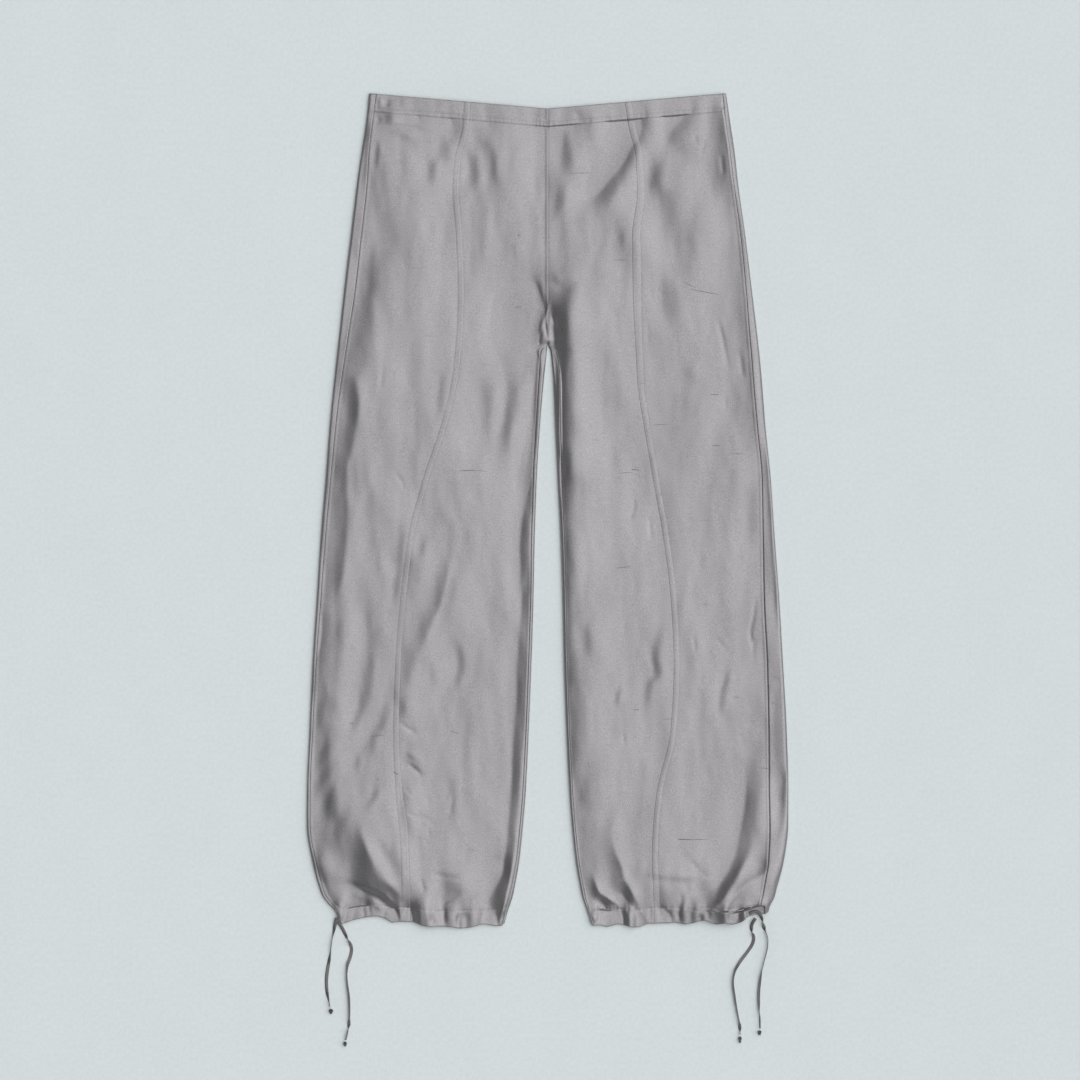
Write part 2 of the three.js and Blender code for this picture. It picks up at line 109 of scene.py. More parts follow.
def mesh_object(name, verts, quads, tris=None, flat_faces=None):
    """A mesh from points in millimetres, with quads and triangles, smooth apart from the faces named flat."""
    verts = np.asarray(verts, float) * MM
    quads = np.asarray(quads, np.int32).reshape(-1, 4)
    tris = np.zeros((0, 3), np.int32) if tris is None else np.asarray(tris, np.int32).reshape(-1, 3)
    mesh = bpy.data.meshes.new(name)
    mesh.vertices.add(len(verts))
    mesh.vertices.foreach_set("co", verts.astype(np.float32).ravel())
    loops = np.concatenate([quads.ravel(), tris.ravel()])
    mesh.loops.add(len(loops))
    mesh.loops.foreach_set("vertex_index", loops)
    n = len(quads) + len(tris)
    mesh.polygons.add(n)
    starts = np.concatenate([np.arange(len(quads)) * 4, len(quads) * 4 + np.arange(len(tris)) * 3])
    mesh.polygons.foreach_set("loop_start", starts.astype(np.int32))
    soft = np.ones(n, bool)
    if flat_faces is not None:
        soft[flat_faces] = False
    mesh.polygons.foreach_set("use_smooth", soft)
    mesh.update(calc_edges=True)
    mesh.validate()
    o = bpy.data.objects.new(name, mesh)
    bpy.context.scene.collection.objects.link(o)
    return o


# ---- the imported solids' sections --------------------------------------------
WAIST_Y, HEM_Y, HEM_FADE, WAIST_DIP, WAIST_HALF, DIP_FADE = 511, -507, 40, 19, 218, 330
CROTCH_Y, CROTCH_EASE, LAYERS, EDGE_T, EDGE_A, ROLL = 207, 0.9, 4.4, 6.4, 2.0, 34
ROLL_SHARE = {"r": (0.05, 0.3), "l": (0.8, 0.15)}  # how much of the solids' rolled edges stays, outer and inner
WAIST_CASING, HEM_CASING, HALF = 23, 20, 0.15
CLOTH, CASING_WALL = 0.5, 1.9
COLUMNS = ("y", "out", "side", "style", "inner", "inseam", "edge")
SECTIONS = {
    "r": [
        (511, 218.4, 208.6, 95.2, 0, 0, -1.6), (481, 221.4, 212.9, 97.2, 0, 0, -1.0), (440, 227.5, 217.8, 106.4, 0, 0, 0),
        (397, 233.6, 220.5, 109.6, 0, 0, 0.4), (342, 240.3, 226.5, 105.5, 0, 0, 1.2), (269, 249.1, 234.9, 103.1, 0, 0, 1.6),
        (214, 255.0, 243.4, 104.9, 0, 0, 1.4), (203, 256.4, 245.1, 106.0, 0.3, 1.6, 1.4), (196, 257.2, 246.2, 106.6, 0.9, 8.6, 1.4),
        (159, 261.1, 251.9, 111.0, 4.6, 11.4, 1.4), (104, 266.6, 258.6, 124.4, 9.2, 15.2, 1.2), (37, 271.8, 265.2, 147.0, 13.2, 18.6, 1.2),
        (-36, 277.8, 271.5, 165.3, 15.7, 20.4, 1.4), (-109, 282.4, 276.9, 174.5, 17.2, 21.6, 1.6), (-188, 287.6, 282.9, 180.6, 19.7, 24.0, 1.8),
        (-268, 291.2, 286.7, 182.8, 22.9, 27.2, 2.2), (-341, 294.3, 289.8, 178.7, 26.4, 30.8, 3.0), (-384, 294.6, 290.0, 172.6, 29.9, 34.2, 3.6),
        (-426, 288.5, 283.8, 169.6, 34.2, 38.6, 3.8), (-464, 278.2, 273.4, 169.0, 40.8, 45.2, 3.0), (-487, 267.9, 263.1, 169.0, 45.8, 50.2, 1.6),
        (-507, 256.3, 251.9, 169.0, 52.6, 57.0, 0.8),
    ],
    "l": [
        (511, 218.4, 213.4, 95.6, 0, 0, -1.6), (481, 222.7, 217.2, 100.2, 0, 0, -1.0), (440, 228.8, 222.7, 109.0, 0, 0, 0),
        (397, 233.6, 227.6, 110.8, 0, 0, 0.2), (342, 241.3, 234.9, 104.7, 0, 0, 0.8), (269, 250.1, 242.2, 105.5, 0, 0, 1.2),
        (214, 256.8, 246.4, 108.0, 0, 0, 1.4), (203, 258.0, 247.3, 108.6, 1.0, 2.6, 1.4), (196, 258.8, 248.0, 109.0, 3.6, 10.4, 1.4),
        (159, 262.3, 250.7, 111.0, 6.9, 15.6, 1.4), (104, 266.6, 255.6, 119.0, 9.2, 16.4, 1.4), (37, 273.3, 261.7, 130.5, 12.4, 17.8, 1.4),
        (-36, 278.2, 262.9, 143.1, 16.0, 20.8, 1.4), (-109, 283.7, 264.1, 151.9, 18.3, 22.8, 1.4), (-188, 288.3, 267.8, 155.6, 20.0, 24.4, 1.6),
        (-268, 292.6, 269.6, 151.5, 22.9, 27.2, 2.2), (-341, 294.6, 270.2, 135.2, 26.6, 31.0, 3.0), (-384, 294.4, 270.8, 130.3, 29.9, 34.2, 3.6),
        (-426, 289.5, 269.0, 128.7, 34.2, 38.6, 3.8), (-464, 279.9, 263.4, 130.5, 40.8, 45.2, 3.0), (-487, 274.6, 259.9, 131.2, 45.8, 50.2, 1.6),
        (-507, 270.3, 258.0, 131.2, 52.6, 57.0, 0.8),
    ],
}
# the gathered edge of each hem: distance from the centre line, height of the edge
HEM_EDGE = {
    "r": [
        (44, -494), (49, -500), (52.5, -504.5), (56.9, -507.5), (63, -507.6), (70.3, -506.3), (76, -505), (82.6, -505.7), (88, -507.6), (94.8, -509.4),
        (107, -510.6), (116, -509.2), (125.4, -508.2), (133, -508.0), (141.3, -508.8), (153.5, -507.5), (160, -504.4), (165.7, -502.7), (178, -502.2),
        (190.2, -503.3), (197.5, -499), (204.9, -495.9), (213, -495.6), (223.2, -497.2), (231, -498.6), (239.1, -500.8), (246, -503.4),
        (252.6, -505.1), (256.5, -500), (259, -495),
    ],
    "l": [
        (44, -494), (50, -502), (55.6, -507.5), (64.2, -506.3), (72.8, -508.8), (79, -507.2), (86.2, -505.1), (92, -506), (99.1, -508.2), (106, -509.2),
        (113.1, -508.8), (118, -506.6), (122.9, -504.5), (130, -504.6), (137.6, -503.9), (147, -504.2), (155.9, -503.3), (162, -504.2), (168.2, -505.7),
        (176.7, -504.5), (186.5, -501.4), (193.8, -500.8), (199, -503.2), (204.9, -505.7), (211, -505.2), (217.1, -504.5), (226.9, -505.7),
        (231, -504.8), (236.7, -502.7), (241, -499.6), (245.2, -496.5), (254, -494), (266, -492.9), (270.9, -490.4),
    ],
}
MOUTH = {"leg": "l", "y": -492, "front": 242, "back": 266}
# leg, d0, y0, d1, y1, half-width, height
FOLDS = [
    ("r", 226, 330, 262, 60, 15, 1.8), ("r", 60, 400, 66, 330, 20, 1.6), ("r", 30, 200, 44, 40, 24, 2.4), ("r", 70, 150, 92, 20, 22, 1.8),
    ("r", 120, -60, 168, -260, 24, 2.4), ("r", 258, -250, 250, -430, 24, 4.2), ("r", 216, -330, 190, -490, 26, 4.6),
    ("r", 100, -410, 96, -500, 28, 2.6), ("l", 62, 440, 30, 330, 20, 1.8), ("l", 34, 240, 26, 60, 22, 2.6), ("l", 150, 420, 176, 300, 28, 1.8),
    ("l", 90, -180, 104, -330, 24, 1.6), ("l", 236, -290, 190, -470, 24, 4.4), ("l", 66, -370, 92, -500, 24, 4.0), ("l", 250, -400, 236, -480, 22, 3.2),
]
FOLD_SHARE = 0.2  # how much of the solids' broad folds stays under the finer creases
# width of the raised, stitched band beside each shaped seam: height, width
BAND = {
    "r": [(-510, 9.6), (-390, 9.3), (-330, 6.6), (-150, 5.6), (100, 6.2), (511, 6.8)],
    "l": [(-510, 6.2), (-150, 6.0), (100, 6.2), (200, 7.6), (290, 9.6), (390, 8.4), (450, 7.6), (511, 6.8)],
}

TABLES = {}
for leg, rows in SECTIONS.items():
    a = np.array(sorted(rows), float)
    TABLES[leg] = {c: a[:, k] for k, c in enumerate(COLUMNS)}


def look(leg, column, y):
    t = TABLES[leg]
    return curve_at(t["y"], t[column], y)


def band_width(leg, y):
    a = np.array(BAND[leg], float)
    return curve_at(a[:, 0], a[:, 1], y)


def broad_folds(leg, d, y):
    total = np.zeros_like(d)
    for g, d0, y0, d1, y1, w, h in FOLDS:
        if g != leg:
            continue
        ex, ey = d1 - d0, y1 - y0
        n = math.hypot(ex, ey)
        along = ((d - d0) * ex + (y - y0) * ey) / n
        across = ((d - d0) * ey - (y - y0) * ex) / n
        end = smooth((along + 0.35 * w) / (1.2 * w)) * smooth((n - along + 0.35 * w) / (1.2 * w))
        total += h * end * np.exp(-((across / w) ** 2) * 1.6)
    return total


class Section:
    """One section of a leg: a dense line of (d, z) over the front, round the side fold and along the underside."""

    def __init__(self, leg, y):
        self.leg, self.y = leg, y
        out, inner = float(look(leg, "out", y)), float(look(leg, "inner", y))
        inseam, edge = float(look(leg, "inseam", y)), float(look(leg, "edge", y))
        hip = y >= CROTCH_Y
        if hip:
            inner = inseam = 0.0
        T = EDGE_T + edge
        self.out, self.inner, self.inseam, self.hip = out, inner, inseam, hip

        grown = float(smooth((CROTCH_Y - y) / 70))

        def near(d):
            return np.minimum(out - d, d - inner) if not hip else out - d

        t_out, t_in = (LAYERS + (T - LAYERS) * k for k in ROLL_SHARE[leg])

        def thick(d):
            return np.where((d - inner < out - d) & (not hip), LAYERS + (t_in - LAYERS) * grown, t_out)

        def top(d):
            n, tk = near(d), thick(d)
            roll = (t_out - LAYERS) * np.exp(-((np.maximum(0, out - d - EDGE_A) / ROLL) ** 2) * 2.2)
            if not hip:
                roll = np.maximum(roll, grown * (t_in - LAYERS) * np.exp(-((np.maximum(0, d - inner - EDGE_A) / ROLL) ** 2) * 2.2))
            z = LAYERS + roll + FOLD_SHARE * broad_folds(leg, d, y) * smooth((n - EDGE_A) / 14)
            c = np.sqrt(np.clip(1 - (1 - np.clip(n / EDGE_A, 0, 1)) ** 2, 0, 1))
            return np.where(n < EDGE_A, tk / 2 + (z - tk / 2) * c, z)

        def bottom(d):
            n = near(d)
            c = np.sqrt(np.clip(1 - (1 - np.clip(n / EDGE_A, 0, 1)) ** 2, 0, 1))
            return np.where(n < EDGE_A, thick(d) / 2 * (1 - c), 0.0)

        turn = 1 - np.cos(np.pi / 2 * np.arange(12) / 12)

        def across(a, b, from_fold):
            lo = a + EDGE_A if from_fold else a
            parts = [a + EDGE_A * turn] if from_fold else []
            k = np.linspace(0, 1, 120)
            parts.append(lo + (b - EDGE_A - lo) * (k if from_fold else k**1.3))
            parts.append(b - EDGE_A * turn[::-1])
            return np.concatenate(parts)

        start = inseam - 0.45
        lap = -0.9 if leg == "r" else HALF
        if hip:
            first = lap
        else:
            first = lap + (start - lap) * float(smooth((CROTCH_Y - y) / 8))
        self.first = first
        dt = across(first, out, False)
        db = across(inner if not hip else HALF, out, not hip)[::-1][1:]
        d, z = [dt, db], [top(dt), bottom(db)]
        if not hip:
            wrap = inner + (inseam - HALF - inner) * (np.arange(1, 19) / 18) ** 1.3
            d.append(wrap)
            z.append(top(wrap))
        self.d, self.z = np.concatenate(d), np.concatenate(z)
        self.s = np.concatenate([[0], np.cumsum(np.hypot(np.diff(self.d), np.diff(self.z)))])
        self.fold = self.s[len(dt) - 1]
        self.under = self.s[len(dt) + len(db) - 1]
        self.end = self.s[-1]
        self._top = (dt, self.s[: len(dt)])
        mouth = leg == MOUTH["leg"] and y < MOUTH["y"]
        side = float(look(leg, "side", y))
        self.style = self.on_top(float(look(leg, "style", y)))
        self.front_end = min(self.on_top(MOUTH["front"] if mouth else side), self.fold)
        self.back_start = min(self.on_top(MOUTH["back"] if mouth else side), self.fold)

    def on_top(self, d):
        return float(np.interp(d, *self._top))

    def at(self, s):
        d, z = np.interp(s, self.s, self.d), np.interp(s, self.s, self.z)
        e = 0.45
        td = np.interp(s + e, self.s, self.d) - np.interp(s - e, self.s, self.d)
        tz = np.interp(s + e, self.s, self.z) - np.interp(s - e, self.s, self.z)
        n = np.maximum(np.hypot(td, tz), 1e-9)
        return d, z, -tz / n, td / n


def along(leg, d, y, sec):
    dip = -WAIST_DIP * (1 - np.clip(np.abs(d) / WAIST_HALF, 0, 1)) * smooth(1 - (WAIST_Y - y) / DIP_FADE)
    hem = np.array(HEM_EDGE[leg], float)
    lift = (np.interp(d, hem[:, 0], hem[:, 1]) - HEM_Y) * smooth((HEM_Y + HEM_FADE - y) / HEM_FADE)
    return y + dip + lift


# ---- the crease plan ---------------------------------------------------------
# A plan over the laid-out garment, x to the right and y down, UNIT mm to a unit. The centre line is at x 547.5.
# kind: f = soft flank of a fold, F = flank with a crisp crest, G = flank with a crisp foot, t = trough, r = ridge;
# width across; strength (1 is a slope of about 22 degrees; a tuple runs along the line); side of the crest (+1 is
# right of a line that runs down, above a line that runs to the right); the points of its line.
UNIT = 1.223
CREASES = [
    # waist edge and hip, right leg
    ("t", 5, 0.8, 1, [(376.5, 95), (376.5, 109)]), ("t", 7, 0.9, 1, [(386.5, 95), (386, 109)]), ("t", 4, 0.4, 1, [(400, 97), (400, 108)]),
    ("f", 9, 0.95, 1, [(390, 111), (389, 118), (387, 126)]), ("t", 4, 1.0, 1, [(386, 126), (398, 126.8), (410, 127.5), (418, 129), (427, 133)]),
    ("f", 9, 0.5, 1, [(392, 133), (405, 137), (418, 143)]), ("f", 7, 0.7, 1, [(369.5, 113), (368.5, 132), (366.5, 160), (364, 190)]),
    ("f", 4.5, 0.6, 1, [(378.7, 138), (377.5, 155), (376, 172)]), ("t", 5, 0.6, 1, [(378, 114), (378.5, 125)]),
    ("t", 3.5, 0.5, 1, [(417.8, 114), (419, 123)]), ("t", 3.5, 0.5, 1, [(441, 112), (441, 121)]), ("t", 3.5, 0.55, 1, [(451, 117), (452.7, 128)]),
    ("f", 11, 0.5, 1, [(446, 132), (445, 147), (443, 163)]), ("f", 12, 0.55, 1, [(459, 112), (458, 132), (456, 150)]), ("f", 9, 0.55, 1, [(432, 158), (431, 172), (430, 188)]),
    ("f", 11, 0.7, 1, [(472, 148), (473.8, 171), (472, 193)]),
    ("f", 12, 0.5, 1, [(480, 122), (484.4, 141), (489, 155), (493, 179.5), (495, 202)]),
    ("f", 12, 0.7, 1, [(392, 838), (396, 862), (398, 888)]),
    ("f", 30, (0.5, 0.9, 1.0, 0.9, 0.85, 0.7), 1, [(370, 244), (363, 270), (359, 290), (356, 314), (353, 337), (350, 358), (346, 374)]), ("f", 20, 0.3, 1, [(385, 238), (381, 262), (376, 285), (370, 305)]),
    ("t", 4, 0.5, 1, [(517, 235), (519.5, 235.5)]),
    # waist edge and hip, left leg
    ("f", 11, 0.9, 1, [(576, 105), (577, 113), (578, 122)]), ("t", 6, 0.8, 1, [(640, 103), (640, 114)]), ("t", 4.5, 0.8, 1, [(665.5, 100), (665.5, 111)]),
    ("t", 4.5, 0.9, 1, [(724, 94), (724, 111)]), ("t", 4, 0.45, 1, [(612, 105), (611, 118)]), ("t", 4, 0.4, 1, [(690, 100), (690, 110)]),
    ("f", 14, 0.75, 1, [(563, 122), (564, 140), (566, 160), (564.5, 177)]), ("f", 10, 0.5, 1, [(562.5, 180), (558.8, 206), (553.7, 220)]),
    ("f", 22, (0.5, 0.9, 1.2, 1.3, 1.1, 1.0), 1, [(635, 125), (630, 143), (622, 163), (611, 182), (600, 200), (590, 217)]), ("f", 8, 0.4, 1, [(621.5, 228), (621.5, 248)]),
    ("f", 13, 0.6, 1, [(673, 122), (672, 136), (669, 150)]), ("f", 15, 0.6, 1, [(660, 150), (656, 167), (655, 187), (667, 199)]),
    ("t", 5, 0.5, 1, [(695.5, 132), (695.5, 145)]), ("t", 4, 0.6, 1, [(705.7, 138), (700.6, 156)]), ("t", 4.5, 0.6, 1, [(721, 152), (722, 163), (723.6, 176)]),
    ("f", 26, 0.3, -1, [(532, 222), (534, 250), (538, 276)]), ("f", 6, 0.5, 1, [(555, 280), (566, 279), (577, 281)]),
    # upper leg, right
    ("F", 21, (0.6, 0.7, 0.78, 0.78, 0.72, 0.68, 0.55, 0.5, 0.55, 0.7), 1, [(345, 368), (349, 388), (351.5, 404), (348.5, 424), (345, 444), (340, 464), (339.5, 492), (340, 515), (338.5, 545), (335, 575), (329, 600)]),
    ("f", 16, 0.8, 1, [(328, 585), (323, 605), (322, 627), (321, 650), (319, 665), (318, 687), (319, 712)]), ("f", 15, 0.3, 1, [(322, 700), (322, 745), (320, 795)]), ("f", 12, 0.35, -1, [(378, 505), (383, 545), (391, 585)]),
    ("t", 3.5, 0.6, 1, [(383.5, 362), (380, 392)]), ("f", 7, 0.4, 1, [(443, 366), (442, 390), (440, 421)]),
    ("f", 7, 0.45, 1, [(403, 520), (400, 560), (394, 612)]), ("f", 16, 0.7, 1, [(491, 370), (488.6, 404), (487, 431), (487, 462)]),
    ("f", 15, 0.78, 1, [(514.5, 364), (512, 397), (509.5, 417), (504.5, 437), (498, 460)]), ("t", 4, 0.5, 1, [(514, 307), (522, 307)]),
    ("f", 6, 0.8, 1, [(537.6, 278), (541, 300), (542, 320)]), ("f", 6, 0.4, 1, [(528, 308), (527.5, 331)]),
    # lower leg, right
    ("f", 12, (0.4, 0.15, 0.0, 0.1, 0.3, 0.3, 0.4), 1, [(374, 485), (374, 522), (379, 545), (382, 567), (374.5, 597), (370, 620), (373, 635), (370, 665), (365.5, 687), (362, 712)]),
    ("t", 3.5, 0.6, 1, [(394, 471), (403, 484), (404, 491)]), ("f", 8, 0.5, 1, [(428, 528), (421, 552), (418, 575), (414.5, 596)]),
    ("f", 8, 0.2, 1, [(440, 505), (449.5, 530), (450.5, 545), (447, 566)]), ("F", 13, (0.4, 0.6, 0.55, 0.25, 0.05), 1, [(446, 555), (441, 582), (436, 602), (430, 617), (424, 632), (416, 650), (410, 668), (405, 686)]),
    ("f", 9, 0.5, 1, [(411, 548), (409, 575), (407, 598)]), ("f", 13, 0.2, 1, [(411, 636), (408, 660), (405, 690)]), ("f", 12, 0.4, -1, [(467, 430), (469, 470), (468, 518)]),
    ("f", 24, 0.34, -1, [(396, 345), (395, 400), (400, 455)]), ("f", 20, 0.22, -1, [(478, 650), (482, 700), (482, 760), (480, 835)]),
    ("f", 11, (0.15, 0.25, 0.2, 0.2), 1, [(463, 522), (469, 545), (458, 578), (452.4, 597), (445, 617), (437.4, 635), (433, 658)]),
    ("f", 7, 0.45, 1, [(457.8, 638), (461.4, 665), (454.4, 692)]), ("f", 9, 0.4, 1, [(433, 660), (433, 688)]),
    ("G", 15, (0.5, 0.7, 1.0, 0.9), 1, [(541, 360), (538.5, 400), (536, 440), (531, 475), (528, 500), (525, 530), (524.5, 560), (525.5, 590)]),
    ("G", 12, (0.75, 0.6, 0.6, 0.8, 0.85, 0.75, 0.55, 0.8), 1, [(526.5, 582), (526, 605), (524.5, 627), (522.5, 650), (521, 672), (519.5, 695), (517.3, 729), (516.7, 759), (515.7, 788), (513.8, 817), (511, 847), (505.5, 880)]),
    # bottom, right
    ("f", 9, 0.5, 1, [(322, 696), (320.5, 715), (318.5, 733)]), ("f", 10, 0.45, 1, [(332, 736), (325, 754), (318, 769)]),
    ("f", 10, 0.5, 1, [(337, 762), (326, 775), (312, 797)]), ("F", 8, 0.35, 1, [(335, 775), (329.3, 798), (325.5, 815)]),
    ("f", 11, 0.3, 1, [(351, 801), (343, 824), (335.5, 836)]),
    ("F", 22, (0.5, 0.8, 1.3, 1.6, 1.4), 1, [(350, 820), (356, 842), (364, 860), (374, 877), (386, 891), (398, 906)]),
    ("F", 5, 1.1, 1, [(343, 881.5), (358.7, 885.6), (370.4, 890.7), (379, 893.6), (388, 901), (395.3, 910), (400.5, 922)]),
    ("r", 9, 0.5, 1, [(346, 892), (360, 895), (372, 901), (381, 908), (388, 917)]), ("t", 4, 0.8, 1, [(358.7, 896), (358.7, 907)]),
    ("t", 7, 0.4, 1, [(359.5, 905), (359.5, 918)]), ("f", 9, 0.45, 1, [(389, 694), (382, 722), (373, 741), (368.5, 759)]),
    ("f", 8, 0.45, 1, [(365, 697), (356, 722), (347, 740)]), ("f", 6, 0.4, 1, [(359, 753), (355.5, 773)]), ("f", 7, 0.55, 1, [(380, 785), (373, 799), (365, 811)]),
    ("f", 8, 0.55, 1, [(381, 836), (384, 849), (389, 864)]), ("f", 9, 0.5, 1, [(403, 697), (403, 721)]),
    ("t", 4, 0.9, 1, [(397.5, 721), (407, 728), (419, 734.5)]), ("f", 9, 0.5, 1, [(401, 739), (415, 746)]),
    ("t", 3.5, 0.7, 1, [(402, 752.5), (411.5, 759), (423, 765)]), ("t", 4, 1.0, 1, [(407.5, 763.8), (416, 770), (423, 776.5)]),
    ("t", 3.5, 0.7, 1, [(404.6, 787), (412.5, 796)]), ("t", 3.5, 0.6, 1, [(425.5, 796), (429.5, 804)]),
    ("t", 4, 0.85, 1, [(404.6, 811), (414.4, 816), (427.6, 819), (436, 827)]), ("t", 3.5, 0.6, 1, [(429, 827), (429, 838)]),
    ("t", 3.5, 0.6, 1, [(454.3, 793), (449.2, 816)]), ("t", 4, 0.75, 1, [(429.6, 872.5), (440.8, 876), (455.5, 878), (466, 880)]),
    ("t", 3.5, 0.6, 1, [(473, 873), (479, 876.5)]), ("t", 4.5, 0.6, 1, [(420, 876), (425, 894)]), ("t", 4.5, 0.6, 1, [(463, 890), (439.8, 906)]),
    ("t", 4.5, 0.6, 1, [(481, 893.5), (465, 906)]), ("f", 15, 0.3, 1, [(399, 868), (400, 895), (404, 922)]), ("f", 13, 0.5, 1, [(424, 880), (423, 900), (420, 924)]), ("f", 16, 0.6, 1, [(447, 866), (450, 895), (448, 924)]), ("f", 13, 0.55, 1, [(470, 885), (468, 905), (466, 924)]),
    ("f", 24, 1.9, 1, [(512, 856), (507, 880), (500, 902), (494, 926)]), ("f", 20, 0.7, 1, [(343, 866), (361, 889), (380, 906)]),
    ("t", 6, 0.8, 1, [(432, 912), (432, 927)]), ("t", 6, 0.8, 1, [(458.4, 912), (458.4, 928)]), ("t", 5, 0.6, 1, [(445, 906), (444, 925)]),
    ("t", 5, 0.7, 1, [(386, 908), (387, 920)]), ("t", 5, 0.6, 1, [(409, 908), (410, 922)]), ("t", 5, 0.6, 1, [(486, 915), (486, 926)]), ("t", 5, 0.6, 1, [(345, 905), (347, 922)]),
    ("f", 15, 0.35, 1, [(334, 690), (336, 720), (338, 745)]), ("f", 14, 0.3, 1, [(326, 650), (325, 690), (324, 720)]),
    ("f", 9, 0.7, 1, [(404, 752), (412, 762), (421, 772)]), ("f", 10, 0.45, 1, [(404, 778), (405, 800), (408, 826), (412, 845)]), ("f", 9, 0.35, 1, [(450, 765), (452, 800), (450, 835)]), ("f", 14, 0.8, 1, [(316, 846), (324, 870), (336, 892)]), ("f", 14, 0.6, 1, [(337, 785), (331, 806), (335, 826)]),
    ("f", 9, 0.8, 1, [(311, 846), (317, 868), (326, 888), (335, 902)]), ("f", 20, 1.0, 1, [(381, 94), (380, 110), (377, 128)]),
    # the crotch
    ("f", 26, 1.0, 1, [(525, 290), (525, 316), (529, 352)]), ("F", 7, 0.9, 1, [(541, 306), (539.5, 318), (537, 334)]), ("f", 9, 1.0, 1, [(547, 298), (549, 318), (550, 334)]), ("f", 22, 1.05, 1, [(557, 278), (558, 300), (560, 322), (560, 354)]), ("f", 12, 1.15, 1, [(541, 308), (540, 328), (538, 352)]),
    ("r", 2.6, 1.3, 1, [(537, 335), (538, 345), (541, 362), (543, 381)]), ("r", 2.6, 1.3, 1, [(545.5, 329), (551, 341), (556, 357), (560, 382), (559, 424), (560, 501)]),
    ("t", 2.8, 1.6, 1, [(545, 322), (546.4, 330), (547, 340)]), ("t", 4, 1.2, 1, [(552, 316), (557, 328)]), ("r", 2.6, 1.2, 1, [(549.7, 300), (547, 312), (541, 328)]), ("t", 2.6, 1.2, 1, [(543, 330), (539, 340), (540, 352)]),
    # upper leg, left
    ("f", 6, 0.7, 1, [(551, 277), (559, 283.5), (575, 285.5)]),
    ("G", 15, (1.3, 1.6, 1.7, 1.5, 1.3), 1, [(557.5, 300), (559, 326), (560, 343), (561, 361), (561.5, 382), (561.5, 424), (563, 452), (566, 486)]),
    ("G", 16, (1.1, 1.35, 1.2, 1.1, 1.0, 0.9, 0.6, 0.5), 1, [(562, 450), (564, 486), (564.5, 509), (564.5, 532), (565, 556), (565.5, 579), (565, 603), (565, 626), (566, 657), (566.5, 689), (567, 715), (568.5, 737), (571, 770), (575, 806)]), ("f", 14, 0.3, -1, [(596, 795), (599, 840), (603, 872)]),
    ("t", 4, 0.5, 1, [(649.5, 285), (652.6, 304)]), ("t", 3.5, 0.5, 1, [(647.4, 320), (648, 346)]), ("f", 14, 0.5, 1, [(665, 272), (668.5, 301), (672, 329)]),
    ("t", 5, 0.65, 1, [(716.6, 315), (724.6, 349), (729.5, 375)]), ("f", 13, 0.4, 1, [(683, 372), (699, 383)]), ("t", 5, 0.5, 1, [(739.5, 350), (743, 381)]),
    ("t", 4, 0.5, 1, [(726, 394), (724.4, 409)]),
    # lower leg, left
    ("f", 10, 0.45, 1, [(585.5, 620), (588, 660)]), ("t", 4, 0.5, 1, [(634.6, 495), (633, 512), (627.5, 521)]), ("t", 4, 0.75, 1, [(650, 514), (650, 529), (652, 543)]),
    ("f", 8, 0.6, 1, [(662, 621), (657.8, 642), (656, 657), (657.8, 673), (650, 684), (646.9, 697), (644.5, 719)]), ("f", 5, 0.45, 1, [(620.5, 686), (615, 707)]),
    ("t", 4, 0.5, 1, [(693.5, 633), (695.5, 654)]), ("t", 4, 0.5, 1, [(714.6, 636), (727.6, 651.5)]), ("f", 6, 0.55, 1, [(730.5, 667), (723.4, 692), (719.6, 719)]),
    ("f", 12, 0.3, 1, [(751, 476), (754.7, 509), (751.6, 532), (748, 553)]), ("t", 4.5, 0.7, 1, [(756.5, 591), (753, 618), (750, 634), (753, 646), (753, 669)]),
    ("t", 4, 0.6, 1, [(757, 638), (753, 646)]), ("f", 10, 0.9, 1, [(764, 410), (770, 480), (775, 540), (779, 600), (783, 650)]), ("t", 3.5, 0.65, 1, [(766, 678.6), (776.6, 681), (784, 686.5)]),
    # bottom, left
    ("f", 10, 0.5, 1, [(589, 779), (580, 806)]), ("t", 3.5, 0.5, 1, [(623, 732), (624.6, 747)]), ("f", 12, 0.15, 1, [(610, 798), (609, 822)]),
    ("F", 15, (0.4, 0.55, 0.7, 0.9, 1.1, 1.2), 1, [(609.5, 812), (606.5, 832), (608, 847), (612.5, 859), (617, 870), (619, 880), (623.5, 888), (628, 897), (633.4, 907), (637, 917), (639, 927)]),
    ("F", 10, 1.3, 1, [(587.5, 868), (591.5, 884), (597.5, 896), (606.5, 902), (615.5, 908), (621.4, 913), (627.4, 920), (631, 928)]),
    ("t", 5, 0.8, 1, [(603.5, 906), (603.5, 927)]), ("t", 4.5, 0.6, 1, [(587, 911), (587, 923)]), ("t", 5, 0.6, 1, [(614, 913), (613, 926)]),
    ("F", 24, 1.5, 1, [(745, 835), (741, 851), (733, 866), (725, 880), (715, 894), (704, 908), (697, 923)]),
    ("F", 13, 1.2, 1, [(767.8, 852), (763.8, 866), (755, 874), (743, 881), (732.4, 890), (725, 899), (719, 908), (715.5, 925)]),
    ("f", 29, (0.5, 1.1, 1.55, 1.4), 1, [(746, 740), (748, 770), (747, 805), (743, 852)]), ("f", 6, 0.5, 1, [(634.5, 872.5), (653, 876), (668, 878), (687, 880), (709, 880)]),
    ("t", 5, 0.65, 1, [(687.5, 858.5), (698, 869), (711.5, 880)]), ("f", 11, 1.0, 1, [(786, 660), (790, 700), (792, 740), (793, 790), (789, 845)]), ("f", 7, 0.8, 1, [(782, 784), (782.5, 806)]),
    ("f", 6, 0.7, 1, [(786, 813), (781.5, 838)]), ("t", 4, 0.65, 1, [(784, 840.5), (772, 855.5)]),
